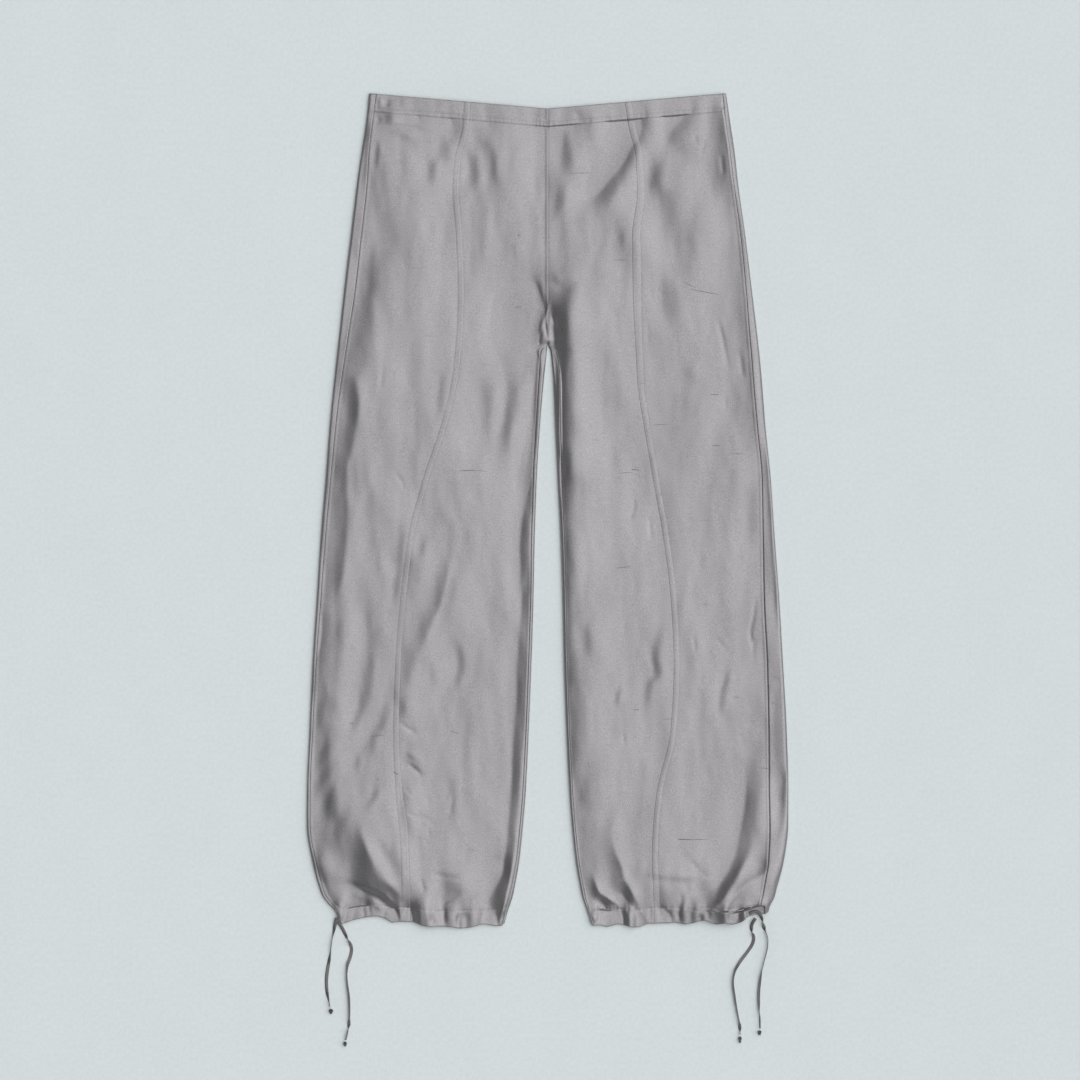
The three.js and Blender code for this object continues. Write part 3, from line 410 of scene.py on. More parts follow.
    ("f", 26, 0.6, 1, [(702, 112), (680, 128), (666, 150), (664, 190)]), ("f", 20, 0.4, 1, [(700, 820), (690, 850), (680, 880)]), ("f", 13, 0.5, 1, [(641, 870), (646, 896), (650, 922)]), ("f", 15, 0.6, 1, [(664, 876), (668, 900), (668, 924)]),
    ("f", 14, 0.5, 1, [(690, 885), (690, 905), (686, 924)]), ("f", 12, 0.5, 1, [(598, 880), (600, 900), (602, 924)]), ("f", 12, 0.5, 1, [(584, 880), (588, 905), (592, 924)]), ("f", 30, 0.5, 1, [(636, 96), (634, 130), (628, 170)]), ("f", 26, 0.3, 1, [(664, 150), (660, 190), (668, 240)]), ("f", 12, 0.5, -1, [(772, 680), (773, 720), (772, 770)]), ("f", 8, 1.2, 1, [(784, 760), (785, 800), (784, 835)]),
    ("f", 34, 0.5, 1, [(690, 140), (680, 200), (694, 270)]), ("f", 22, 0.5, 1, [(620, 196), (614, 232), (616, 268)]),
    ("f", 30, 1.05, 1, [(714, 94), (717, 130), (722, 200)]), ("f", 26, 1.2, 1, [(590, 98), (588, 125), (584, 160)]), ("f", 24, 0.85, 1, [(688, 94), (686, 130), (694, 175)]), ("f", 26, 0.35, 1, [(640, 190), (636, 240), (642, 300)]), ("f", 20, 0.85, 1, [(646, 96), (646, 125), (652, 155)]), ("f", 24, 0.4, 1, [(700, 190), (690, 240), (692, 300)]), ("f", 20, 0.25, 1, [(734, 290), (740, 350), (744, 400), (744, 455)]), ("f", 14, 0.4, 1, [(341, 600), (336, 650), (338, 700)]), ("t", 2.6, 0.9, 1, [(768, 778.5), (777, 778), (783, 775), (788, 771)]), ("f", 16, 1.0, 1, [(619, 880), (627, 897), (636, 916)]), ("f", 18, 0.35, 1, [(632, 860), (640, 886), (652, 912)]),
    ("t", 4.5, 0.8, 1, [(650, 905), (650, 923)]), ("t", 4.5, 0.8, 1, [(660.4, 902), (660.4, 922)]), ("t", 6, 0.85, 1, [(662, 908), (668, 914), (672.5, 924)]),
    ("t", 5, 0.8, 1, [(680, 889), (681.4, 902), (678.4, 914), (681.6, 926)]), ("t", 5, 0.8, 1, [(700.5, 912), (700, 923)]), ("t", 5, 0.8, 1, [(729.4, 906), (729.4, 923)]),
    ("t", 5, 0.7, 1, [(739, 903), (738, 921)]), ("t", 4, 0.7, 1, [(746.5, 902), (746, 917)]), ("t", 4.5, 0.6, 1, [(709, 908), (708, 922)]),
]
# the same kinds of creases where the underside bears on the surface: the seat, the back of the knees, the hems
CREASES_UNDER = [
    ("f", 16, 0.8, 1, [(470, 200), (500, 232), (530, 262), (544, 300)]), ("f", 14, 0.7, -1, [(628, 208), (600, 240), (570, 268), (553, 304)]),
    ("f", 18, 0.7, 1, [(420, 150), (436, 190), (444, 240)]), ("f", 15, 0.7, -1, [(668, 150), (660, 200), (664, 250)]),
    ("t", 7, 0.8, 1, [(404, 330), (440, 342), (492, 350), (534, 352)]), ("t", 6, 0.7, 1, [(566, 350), (602, 354), (650, 344), (700, 330)]),
    ("f", 15, 0.8, 1, [(380, 300), (368, 370), (362, 440)]), ("f", 16, 0.8, -1, [(716, 300), (728, 372), (736, 450)]),
    ("f", 13, 0.7, -1, [(500, 380), (488, 440), (470, 500), (462, 560)]), ("f", 14, 0.7, 1, [(600, 372), (612, 440), (622, 520), (634, 590)]),
    ("t", 6, 0.8, 1, [(352, 540), (400, 552), (452, 546), (510, 560)]), ("t", 7, 0.8, 1, [(592, 556), (650, 548), (700, 560), (752, 548)]),
    ("f", 12, 0.7, 1, [(430, 580), (420, 650), (396, 720), (384, 780)]), ("f", 13, 0.7, -1, [(660, 590), (676, 660), (700, 730), (716, 790)]),
    ("f", 15, 0.8, 1, [(350, 640), (342, 720), (350, 800)]), ("f", 14, 0.8, -1, [(744, 640), (756, 720), (748, 806)]),
    ("F", 14, 0.9, 1, [(352, 820), (372, 866), (402, 898), (420, 920)]), ("F", 13, 0.9, -1, [(742, 820), (722, 866), (696, 898), (684, 920)]),
    ("f", 12, 0.8, -1, [(500, 840), (484, 880), (468, 918)]), ("f", 12, 0.8, 1, [(596, 840), (610, 880), (624, 920)]),
    ("t", 5, 0.8, 1, [(440, 880), (442, 922)]), ("t", 5, 0.8, 1, [(410, 890), (414, 922)]), ("t", 5, 0.8, 1, [(372, 884), (366, 916)]),
    ("t", 5, 0.8, 1, [(656, 886), (652, 922)]), ("t", 5, 0.8, 1, [(672, 896), (674, 922)]), ("t", 5, 0.8, 1, [(732, 884), (738, 918)]),
    ("t", 5, 0.7, 1, [(400, 96), (402, 130)]), ("t", 5, 0.7, 1, [(470, 102), (468, 140)]), ("t", 5, 0.7, 1, [(610, 104), (612, 140)]), ("t", 5, 0.7, 1, [(690, 96), (686, 130)]),
]

GX0, GY0, GX1, GY1, CELLS = 232.0, 30.0, 864.0, 990.0, 2.0
NX, NY = int((GX1 - GX0) * CELLS) + 1, int((GY1 - GY0) * CELLS) + 1
FY = np.fft.fftfreq(NY, 1 / CELLS)[:, None]
FX = np.fft.rfftfreq(NX, 1 / CELLS)[None, :]
REACH = 26.0  # how far, in plan units, the cloth takes to settle again beside a fold


def crease_field(creases, slope):
    """Heights in mm over the plan. Flanks give the cloth's tilt, from which the heights are summed up; troughs and ridges are heights."""
    field = np.zeros((NY, NX))
    tilt_x, tilt_y = np.zeros((NY, NX)), np.zeros((NY, NX))
    for kind, w, s, side, pts in creases:
        line = through(pts, 5.0)
        seg = np.diff(line, axis=0)
        lens = np.hypot(seg[:, 0], seg[:, 1])
        cum = np.concatenate([[0], np.cumsum(lens)])
        total = cum[-1]
        reach = w * 2.0 + 4
        x0 = max(0, int((line[:, 0].min() - reach - GX0) * CELLS))
        x1 = min(NX, int((line[:, 0].max() + reach - GX0) * CELLS) + 1)
        y0 = max(0, int((line[:, 1].min() - reach - GY0) * CELLS))
        y1 = min(NY, int((line[:, 1].max() + reach - GY0) * CELLS) + 1)
        X, Y = np.meshgrid(GX0 + np.arange(x0, x1) / CELLS, GY0 + np.arange(y0, y1) / CELLS)
        best = np.full(X.shape, 1e9)
        u, a, nx, ny = (np.zeros(X.shape) for _ in range(4))
        for k in range(len(seg)):
            px, py = X - line[k, 0], Y - line[k, 1]
            t = np.clip((px * seg[k, 0] + py * seg[k, 1]) / lens[k] ** 2, 0, 1)
            dist = np.hypot(px - t * seg[k, 0], py - t * seg[k, 1])
            closer = dist < best
            best = np.where(closer, dist, best)
            u = np.where(closer, dist * np.sign(px * seg[k, 1] - py * seg[k, 0]), u)
            a = np.where(closer, cum[k] + t * lens[k], a)
            nx = np.where(closer, seg[k, 1] / lens[k], nx)
            ny = np.where(closer, -seg[k, 0] / lens[k], ny)
        u, nx, ny = u * side, nx * side, ny * side
        if isinstance(s, tuple):
            ends = min(0.5 * total, 0.9 * w)
            s = np.interp(a / total, np.linspace(0, 1, len(s)), s)
        elif kind in "fFG":
            ends = min(0.5 * total, max(0.28 * total, 0.9 * w))
        else:
            ends = min(0.5 * total, max(0.3 * total, 1.2 * w))
        taper = smooth(a / ends) * smooth((total - a) / ends)
        # uneven along its length
        phase = RNG.uniform(0, 2 * np.pi, 2)
        taper = taper * (1 + 0.16 * np.sin(a / 15.0 + phase[0]) + 0.09 * np.sin(a / 6.7 + phase[1]))
        if kind in "fFG":
            if kind == "f":
                across = np.exp(-(np.abs(u / (0.60 * w)) ** 2.4))
            else:
                q = u - 0.24 * w if kind == "F" else -u - 0.24 * w
                across = np.exp(-(np.abs(np.minimum(q, 0) / (0.95 * w)) ** 2.2)) * (1 - smooth(q / (0.22 * w + 1.0)))
            m = s * slope * taper * across
            tilt_x[y0:y1, x0:x1] += m * nx
            tilt_y[y0:y1, x0:x1] += m * ny
        else:
            height = s * 0.42 * w * UNIT * 0.42
            part = (1 if kind == "r" else -1) * height * taper * np.exp(-((u / (0.42 * w)) ** 2))
            field[y0:y1, x0:x1] += part
    kx, ky = 2 * np.pi * FX, 2 * np.pi * FY
    summed = -1j * (kx * np.fft.rfft2(tilt_x) + ky * np.fft.rfft2(tilt_y)) / (kx**2 + ky**2 + 1 / REACH**2)
    return field, np.fft.irfft2(summed, s=(NY, NX)) * UNIT


def soft_noise(lx, ly, seed):
    """Smooth unit noise over the plan with those correlation lengths, in plan units."""
    rng = np.random.default_rng(seed)
    white = rng.standard_normal((NY, NX))
    g = np.exp(-2 * np.pi**2 * ((FX * lx) ** 2 + (FY * ly) ** 2))
    n = np.fft.irfft2(np.fft.rfft2(white) * g, s=(NY, NX))
    return n / n.std()


def blur(field, sigma):
    return np.fft.irfft2(np.fft.rfft2(field) * np.exp(-2 * np.pi**2 * sigma**2 * (FX**2 + FY**2)), s=(NY, NX))


SLOPE = 0.47
thin, flanks = crease_field(CREASES, SLOPE)
flanks = flanks - 0.6 * blur(np.maximum(flanks - 5.5, 0), 16)  # a tall fold spreads out
top_field = blur(thin, 0.6) + flanks
top_field += 0.8 * soft_noise(32, 90, 4) + 0.62 * soft_noise(13, 40, 1) + 0.24 * soft_noise(6, 18, 2) + 0.07 * soft_noise(2.6, 6, 3)
top_field = np.where(top_field > 9, 9 + (top_field - 9) * 0.35, top_field)
top_field = np.where(top_field < -2.4, -2.4 + (top_field + 2.4) * 0.3, top_field)
gather_field = soft_noise(3.4, 15, 11) + 0.5 * soft_noise(6.5, 20, 12)
hem_field = soft_noise(7, 30, 21) + 0.45 * soft_noise(4.2, 12, 22)
thin, flanks = crease_field(CREASES_UNDER, 0.26)
under_field = np.abs(blur(thin, 0.8)) * 0.8 + flanks + 1.0 * blur(np.abs(flanks), 12) + 0.2 * np.abs(soft_noise(12, 36, 5)) + 0.08 * np.abs(soft_noise(5, 12, 6))
under_field = 1.3 * np.tanh(np.maximum(under_field, 0) / 1.3)


def sample(field, x, y):
    """The field at places in the row frame, in mm."""
    px = (547.5 + (x - SHIFT[0]) / UNIT - GX0) * CELLS
    py = (511 - (y - SHIFT[1]) / UNIT - GY0) * CELLS
    px, py = np.clip(px, 0, NX - 1.001), np.clip(py, 0, NY - 1.001)
    i, j = px.astype(int), py.astype(int)
    fx, fy = px - i, py - j
    return (
        field[j, i] * (1 - fx) * (1 - fy) + field[j, i + 1] * fx * (1 - fy)
        + field[j + 1, i] * (1 - fx) * fy + field[j + 1, i + 1] * fx * fy
    )


# ---- materials ----------------------------------------------------------------
def material(name, base, rough, metallic, bump=0.0, vary=0.0, threads=(70.0, 760.0), fine=900.0, sheen=0.0):
    m = bpy.data.materials.new(name)
    m.use_nodes = True
    t = m.node_tree
    p = t.nodes["Principled BSDF"]
    p.inputs["Base Color"].default_value = (*base, 1)
    p.inputs["Roughness"].default_value = rough
    p.inputs["Metallic"].default_value = metallic
    p.inputs["Sheen Weight"].default_value = sheen
    coords = t.nodes.new("ShaderNodeTexCoord")

    def noise(scale, detail, roughness=0.55):
        mapping = t.nodes.new("ShaderNodeMapping")
        mapping.inputs["Scale"].default_value = scale
        t.links.new(coords.outputs["Object"], mapping.inputs["Vector"])
        n = t.nodes.new("ShaderNodeTexNoise")
        n.inputs["Scale"].default_value = 1.0
        n.inputs["Detail"].default_value = detail
        n.inputs["Roughness"].default_value = roughness
        t.links.new(mapping.outputs["Vector"], n.inputs["Vector"])
        return n.outputs["Fac"]

    def math_node(op, a, b):
        n = t.nodes.new("ShaderNodeMath")
        n.operation = op
        for k, v in enumerate((a, b)):
            if hasattr(v, "links"):
                t.links.new(v, n.inputs[k])
            else:
                n.inputs[k].default_value = v
        return n.outputs[0]

    slubs = noise((threads[0], threads[1], 60.0), 3.0)
    grain = noise((fine, fine * 0.8, fine), 2.0)
    clouds = noise((14.0, 9.0, 14.0), 2.0)
    if vary:
        mix = math_node("ADD", math_node("MULTIPLY", slubs, 0.10), math_node("MULTIPLY", grain, 0.70))
        mix = math_node("ADD", mix, math_node("MULTIPLY", clouds, 0.20))
        ramp = t.nodes.new("ShaderNodeValToRGB")
        ramp.color_ramp.elements[0].position, ramp.color_ramp.elements[1].position = 0.3, 0.7
        ramp.color_ramp.elements[0].color = (*[c * (1 - vary) for c in base], 1)
        ramp.color_ramp.elements[1].color = (*[min(1, c * (1 + vary)) for c in base], 1)
        t.links.new(mix, ramp.inputs["Fac"])
        t.links.new(ramp.outputs["Color"], p.inputs["Base Color"])
    if bump:
        height = math_node("ADD", math_node("MULTIPLY", slubs, 0.18), math_node("MULTIPLY", grain, 0.82))
        b = t.nodes.new("ShaderNodeBump")
        b.inputs["Strength"].default_value = 1.0
        b.inputs["Distance"].default_value = bump
        t.links.new(height, b.inputs["Height"])
        t.links.new(b.outputs["Normal"], p.inputs["Normal"])
    return m


SATIN = material("satin", (0.292, 0.284, 0.294), 0.40, 0.78, bump=0.00016, vary=0.235)
CORD_CLOTH = material("drawcord_satin", (0.13, 0.125, 0.128), 0.42, 0.45, bump=0.0001, vary=0.10, threads=(900.0, 900.0))
THREAD = material("thread", (0.255, 0.25, 0.257), 0.5, 0.4, vary=0.05)
SLUB = material("slub_yarn", (0.17, 0.165, 0.17), 0.55, 0.2, vary=0.05)


# ---- the panels ------------------------------------------------------------------
def row_heights():
    top = WAIST_Y - np.array([0, 0.25, 0.6, 1.1, 1.8, 2.8, 4.0, 5.4, 7.0, 8.8, 10.6, 12.4, 14.0, 15.2, 16.2, 17.1, 18.0, 19.0, 20.2, 21.2, 21.9, 22.6, 23.3, 24.2, 25.4, 27.0, 28.8])
    low = HEM_Y + np.array([44.0, 42, 40, 38, 36, 34, 32.2, 30.4, 28.6, 26.8, 25, 23.2, 21.6, 20.4, 19.6, 18.8, 17.8, 16.4, 14.8, 13.2, 11.6, 10, 8.4, 6.8, 5.4, 4.0, 2.8, 1.8, 1.1, 0.6, 0.25, 0])
    n = int((top[-1] - low[0]) / 2.45)
    mid = np.linspace(top[-1], low[0], n + 2)[1:-1]
    return np.concatenate([top, mid, low])


ROWS_FRONT = row_heights()
ROWS_BACK = np.concatenate([ROWS_FRONT[:27:2], np.arange(478, -460, -3.7), ROWS_FRONT[-32::2], [HEM_Y + 0.6, HEM_Y + 0.25, HEM_Y]])
ROWS_BACK = np.unique(ROWS_BACK)[::-1]


def ripple(x, wave, seed):
    """Uneven small waves along a stitched row."""
    rng = np.random.default_rng(seed)
    total = np.zeros_like(x)
    for k in range(7):
        total += np.sin(2 * np.pi * x / (wave * rng.uniform(0.6, 1.9)) + rng.uniform(0, 6.3)) * rng.uniform(0.4, 1.0)
    return total / 3.0


def casing_relief(leg, x, from_waist, from_hem, seed):
    """The turned and stitched edges: two stitched rows at the waist, one at the hem, with their puckers."""
    e, g = from_waist, from_hem
    up = 0.32 * (1 - smooth((e - 21.5) / 2.4))
    up -= 0.20 * np.exp(-(((e - 17.1) / 0.9) ** 2)) + 0.24 * np.exp(-(((e - 22.6) / 0.9) ** 2))
    up += ripple(x, 5.0, seed) * 0.15 * np.exp(-(((e - 19.6) / 4.6) ** 2))
    up += ripple(x, 23.0, seed + 1) * 0.16 * np.exp(-(((e - 10) / 12.0) ** 2))
    up += 0.25 * (1 - smooth((g - 18.6) / 2.2)) - 0.22 * np.exp(-(((g - 19.6) / 1.0) ** 2))
    up += ripple(x, 7.0, seed + 2) * 0.20 * np.exp(-(((g - 20) / 5.0) ** 2))
    return up


class Panel:
    def __init__(self, name, leg, rows, stations, relief):
        """stations(section) gives arc lengths; relief(section, arc lengths, d) a height out of the cloth."""
        sign = -1 if leg == "r" else 1
        P, N2, Y0, sec_out, sec_in = [], [], [], [], []
        lift = []
        for y in rows:
            sec = SECTION_OF(leg, y)
            s = stations(sec)
            d, z, nd, nz = sec.at(s)
            P.append(np.column_stack([d, along(leg, d, y, sec), z]))
            N2.append(np.column_stack([nd, nz]))
            lift.append(relief(sec, s, d))
            sec_out.append(sec.out)
            sec_in.append(sec.inner if not sec.hip else -1e3)
            Y0.append(y)
        P, N2, lift = np.array(P), np.array(N2), np.array(lift)
        Y0 = np.array(Y0)[:, None] * np.ones(P.shape[1])
        inside = P[..., 0] - np.array(sec_in)[:, None]
        inside = inside + 12 * (1 - smooth((CROTCH_Y - Y0) / 30))
        near = np.minimum(np.array(sec_out)[:, None] - P[..., 0], inside)
        X = sign * P[..., 0] + SHIFT[0]
        Y = P[..., 1] + SHIFT[1]
        up, down = smooth((N2[..., 1] - 0.1) / 0.6), smooth((-N2[..., 1] - 0.1) / 0.6)
        rim = smooth((near - 0.3) / 3.0)
        e, g = WAIST_Y - Y0, Y0 - HEM_Y

        def lay(x, y, e, g):
            calm = smooth((e + 6) / 24) * 0.45 + 0.55
            h = calm * sample(top_field, x, y)
            h = h + 1.25 * np.exp(-((np.maximum(g - 6, 0) / 20.0) ** 2)) * sample(gather_field, x, y)
            return h + 1.3 * np.exp(-(((g - 12) / 44.0) ** 2)) * sample(hem_field, x, y)

        # the field's height right at an edge is taken off over a wider strip
        d_out, d_in = np.array(sec_out)[:, None], np.maximum(np.array(sec_in), 0)[:, None]
        at_out = lay(sign * d_out + SHIFT[0], Y[:, :1], e[:, :1], g[:, :1])
        at_in = lay(sign * d_in + SHIFT[0], Y[:, :1], e[:, :1], g[:, :1]) * smooth((CROTCH_Y - Y0[:, :1]) / 40)

        def taken(at, gap, wide):
            return at * (1 - smooth(gap / np.where(at > 0, wide, 30.0)))

        wide_out, wide_in = (30.0, 9.0) if leg == "r" else (9.0, 30.0)
        h = lay(X, Y, e, g) - taken(at_out, d_out - P[..., 0], wide_out) - taken(at_in, P[..., 0] - d_in, wide_in)
        z = P[..., 2] + up * rim * h + up * 1.3 * smooth((near - 2) / 40)
        z += up * 3.4 * np.exp(-(((g - 56) / np.where(g < 56, 36.0, 80.0)) ** 2)) * smooth(near / 85)
        under = 0.5 * np.exp(-((g / 22.0) ** 2)) * np.abs(sample(gather_field, X + 40, Y))
        under += (0.3 + 0.7 * smooth((e - 20) / 12)) * (0.35 + 0.65 * smooth((g - 16) / 16)) * sample(under_field, X, Y)
        z += down * rim * under
        wall = CLOTH + (CASING_WALL - CLOTH) * np.maximum(smooth((WAIST_CASING - e) / 4 + 0.5), smooth((HEM_CASING - g) / 4 + 0.5))
        # the front keeps clear of the back, and no fold stands higher than the pile can hold
        z += up * rim * 0.25 * np.logaddexp(0, (under + 2 * wall + 0.45 - z) / 0.25)
        z -= up * 0.8 * np.logaddexp(0, (z - 16.2) / 0.8)
        relief_all = lift + casing_relief(leg, X, e, g, 70 if leg == "r" else 90) * (up - 0.35 * down) * (0.25 + 0.75 * rim)
        d = P[..., 0] + N2[..., 0] * relief_all
        z = z + N2[..., 1] * relief_all
        z = np.where(down > 0.5, np.maximum(z, 0.0), z)
        X = sign * d + SHIFT[0]
        outer = np.stack([X, Y, z], -1)
        gu = np.gradient(outer, axis=0)
        gv = np.gradient(outer, axis=1)
        n = np.cross(gu, gv) if sign < 0 else np.cross(gv, gu)
        n /= np.maximum(np.linalg.norm(n, axis=-1, keepdims=True), 1e-12)
        n = -n if sign < 0 else -n
        # the normal points out of the cloth: up on the front, down on the underside
        want = np.sign(np.sum(n[..., 2] * N2[..., 1]))
        n = n * want
        inner = outer - n * wall[..., None]
        r = 0.5 * wall
        edge = np.minimum(e, g)
        drop = np.where(edge < r, r - np.sqrt(np.maximum(r * r - (r - edge) ** 2, 0)), 0.0)[..., None]
        outer = outer - n * drop * 0.96
        inner = inner + n * drop * 0.96
        self.outer, self.normal, self.rows, self.X = outer, n, rows, X
        R, C = outer.shape[:2]
        verts = np.concatenate([outer.reshape(-1, 3), inner.reshape(-1, 3)])
        i = np.arange(R * C).reshape(R, C)
        j = i + R * C

        def strip(a, b, c, d):
            return np.stack([a, b, c, d], -1).reshape(-1, 4)

        quads = [
            strip(i[:-1, :-1], i[1:, :-1], i[1:, 1:], i[:-1, 1:]),
            strip(j[:-1, :-1], j[:-1, 1:], j[1:, 1:], j[1:, :-1]),
            strip(i[:-1, 0], j[:-1, 0], j[1:, 0], i[1:, 0]),
            strip(i[:-1, -1], i[1:, -1], j[1:, -1], j[:-1, -1]),
            strip(i[0, :-1], i[0, 1:], j[0, 1:], j[0, :-1]),
            strip(i[-1, :-1], j[-1, :-1], j[-1, 1:], i[-1, 1:]),
        ]
        rims = np.arange(len(quads[0]) + len(quads[1]), sum(len(q) for q in quads))
        quads = np.concatenate(quads)
        if sign < 0:
            quads = quads[:, ::-1]
        self.object = mesh_object(name, verts, quads, flat_faces=rims)
        self.object.data.materials.append(SATIN)
        self.name = name


_sections = {}


def SECTION_OF(leg, y):
    key = (leg, round(float(y), 3))
    if key not in _sections:
        _sections[key] = Section(leg, float(y))
    return _sections[key]


LEAD = np.array([0, 0.5, 1.1, 1.8, 2.6, 3.5, 4.6, 6.0])
TAIL = np.array([7.0, 5.4, 4.2, 3.2, 2.3, 1.5, 0.8, 0.0])


def center_stations(n):
    def f(sec):
        a, b = 0.0, sec.style - HALF
        return np.concatenate([a + LEAD, np.linspace(a + 6.0, b - 7.0, n + 2)[1:-1], b - TAIL])
    return f


def center_relief(sec, s, d):
    b = sec.style - HALF
    t = s - b
    up = -0.11 * np.exp(-(((t - 0.4) / 1.6) ** 2))
    y = sec.y
    if sec.leg == "r":
        seam = 0.12 + 0.24 * float(smooth((y - 90) / 80)) + 0.25 * float(np.exp(-(((y + 205) / 90) ** 2)))
        up += seam * (1 - smooth((s - 1.6) / 2.6))
    else:
        hip = float(smooth((y - CROTCH_Y + 16) / 24))
        seam = 0.12 + 0.5 * float(smooth((y - 10) / 120))
        up += (1 - hip) * (0.8 * seam * (1 - smooth((s - 0.7) / 1.4)) - 0.2 * seam * np.exp(-(((s - 2.5) / 0.8) ** 2)))
        up -= hip * 0.16 * np.exp(-((s / 1.6) ** 2))
    return up


BAND_STEPS = np.array([-1.05, -0.6, -0.1, 0.5])


def side_stations(n):
    def f(sec):
        a, w = sec.style, float(band_width(sec.leg, sec.y))
        b = sec.front_end + 0.55
        head = a + np.concatenate([BAND_STEPS, np.linspace(0.5, w - 1.3, 5)[1:], [w - 0.8, w - 0.4, w, w + 0.4, w + 0.8, w + 1.4, w + 2.4, w + 4.0]])
        tail = b - np.array([6.0, 4.6, 3.5, 2.7, 2.0, 1.3, 0.6, 0.0])
        return np.concatenate([head, np.linspace(head[-1], tail[0], n + 2)[1:-1], tail])
    return f


def side_relief(sec, s, d):
    t, w = s - sec.style, float(band_width(sec.leg, sec.y))
    band = 0.15 - (0.05 * float(np.exp(-(((sec.y + 311) / 70) ** 2))) if sec.leg == "l" else 0.0)
    up = band * smooth((t + 1.3) / 1.8) * (1 - smooth((t - (w - 3.4)) / 4.0)) - 0.06 * np.exp(-(((t - w) / 0.9) ** 2))
    up += 0.05 * np.sin(np.pi * np.clip(t / w, 0, 1))
    q = sec.front_end + 0.55 - s
    up += 0.14 * (1 - smooth((q - 2.0) / 2.2)) - 0.06 * np.exp(-(((q - 3.9) / 0.8) ** 2)) - 0.05 * (1 - smooth(q / 0.9))
    return up


def back_stations(n_side, n_under, n_in):
    def f(sec):
        a, turn = sec.back_start + HALF, sec.fold + 9
        b = sec.end - 16 if sec.hip else sec.under - 9
        return np.concatenate([
            a + (turn - a) * np.linspace(0, 1, n_side), np.linspace(turn, b, n_under + 2)[1:-1], b + (sec.end - b) * np.linspace(0, 1, n_in)
        ])
    return f


def back_relief(sec, s, d):
    t = s - sec.back_start
    depth = 0.18 if sec.leg == "r" else 0.14 - 0.08 * float(smooth((-250 - sec.y) / 60))
    up = -depth * np.exp(-((t / 1.3) ** 2))
    q = sec.end - s
    return up - 0.35 * np.exp(-((q / 1.6) ** 2))


panels = {}
for leg in ("r", "l"):
    panels["front_center_" + leg] = Panel("cloth_front_center_" + leg, leg, ROWS_FRONT, center_stations(68 if leg == "r" else 60), center_relief)
    panels["front_side_" + leg] = Panel("cloth_front_side_" + leg, leg, ROWS_FRONT, side_stations(50 if leg == "r" else 56), side_relief)
    panels["back_" + leg] = Panel("cloth_back_" + leg, leg, ROWS_BACK, back_stations(13, 58, 11), back_relief)

for node, p in panels.items():
    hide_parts(node)
    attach(p.object, "root")

# ---- the drawcords: flat ribbons on the solids' routes ------------------------------
RIBBON_W, RIBBON_T = 4.0, 0.55
ROUTES = {
    "drawcord_r_a": [(-258.0, -497.6, 3.4), (-259.4, -503.2, 2.6), (-260.8, -510.5, 2.3), (-263.6, -524.7, 2.3), (-265.6, -539.3, 2.3), (-267.7, -552.8, 2.3), (-269.8, -566.2, 2.3), (-270.5, -578.5, 2.3), (-269.4, -590.7, 2.3), (-267.2, -601.1, 2.3), (-265.7, -607.0, 2.3)],
    "drawcord_r_b": [(-256.0, -502.4, 3.4), (-252.2, -508.6, 2.6), (-249.9, -512.8, 2.3), (-245.7, -521.6, 2.3), (-241.5, -529.1, 2.3), (-239.8, -536.9, 2.3), (-241.5, -546.1, 2.3), (-244.5, -555.2, 2.3), (-245.5, -565.0, 2.3), (-245.0, -578.5, 2.3), (-243.0, -594.4, 2.3), (-242.3, -610.3, 2.3), (-242.8, -626.2, 2.3), (-245.2, -640.9, 2.3), (-246.9, -647.0, 2.3)],
    "drawcord_l_a": [(254.3, -498.0, 4.5), (250.4, -505.0, 3.4), (249.6, -512.9, 2.3), (252.3, -521.0, 2.3), (250.8, -529.6, 2.3), (243.7, -540.6, 2.3), (235.2, -552.1, 2.3), (229.2, -563.8, 2.3), (227.1, -577.3, 2.3), (229.1, -594.4, 2.3), (232.2, -612.7, 2.3), (234.9, -626.2, 2.3), (235.7, -640.2, 2.3)],
    "drawcord_l_b": [(246.9, -492.4, 4.5), (251.8, -490.4, 4.6), (256.6, -490.2, 4.6), (260.6, -494.4, 4.4), (263.0, -501.9, 3.2), (265.5, -511.5, 2.3), (269.4, -522.2, 2.3), (268.9, -534.5, 2.3), (264.5, -552.8, 2.3), (260.9, -569.9, 2.3), (258.7, -587.0, 2.3), (258.7, -604.2, 2.3), (259.6, -620.1, 2.3), (259.8, -633.0, 2.3)],
}
# where each ribbon turns over: height of the place, half-length of the turn, share of a half turn
TURNS = {
    "drawcord_r_a": [(-515, 8, 0.4), (-548, 12, -0.4), (-596, 12, 0.45)],
    "drawcord_r_b": [(-526, 9, 1.0), (-556, 12, -0.35), (-629, 9, 1.0)],
    "drawcord_l_a": [(-516.5, 8, 1.0), (-560, 14, -0.35), (-633, 9, 1.0)],
    "drawcord_l_b": [(-504, 9, 1.0), (-512.5, 7, 0.5), (-570, 14, 0.3), (-612, 12, -0.4)],
}
KNOTS = {
    "knot_r_a": (-264.9, -611.9, 3.2, 4.2, 2.4), "knot_r_b": (-247.6, -651.7, 2.6, 4.1, 2.4),
    "knot_l_a": (235.5, -646.2, 2.3, 5.4, 2.3), "knot_l_b": (259.5, -637.9, 2.6, 4.2, 2.4),
}


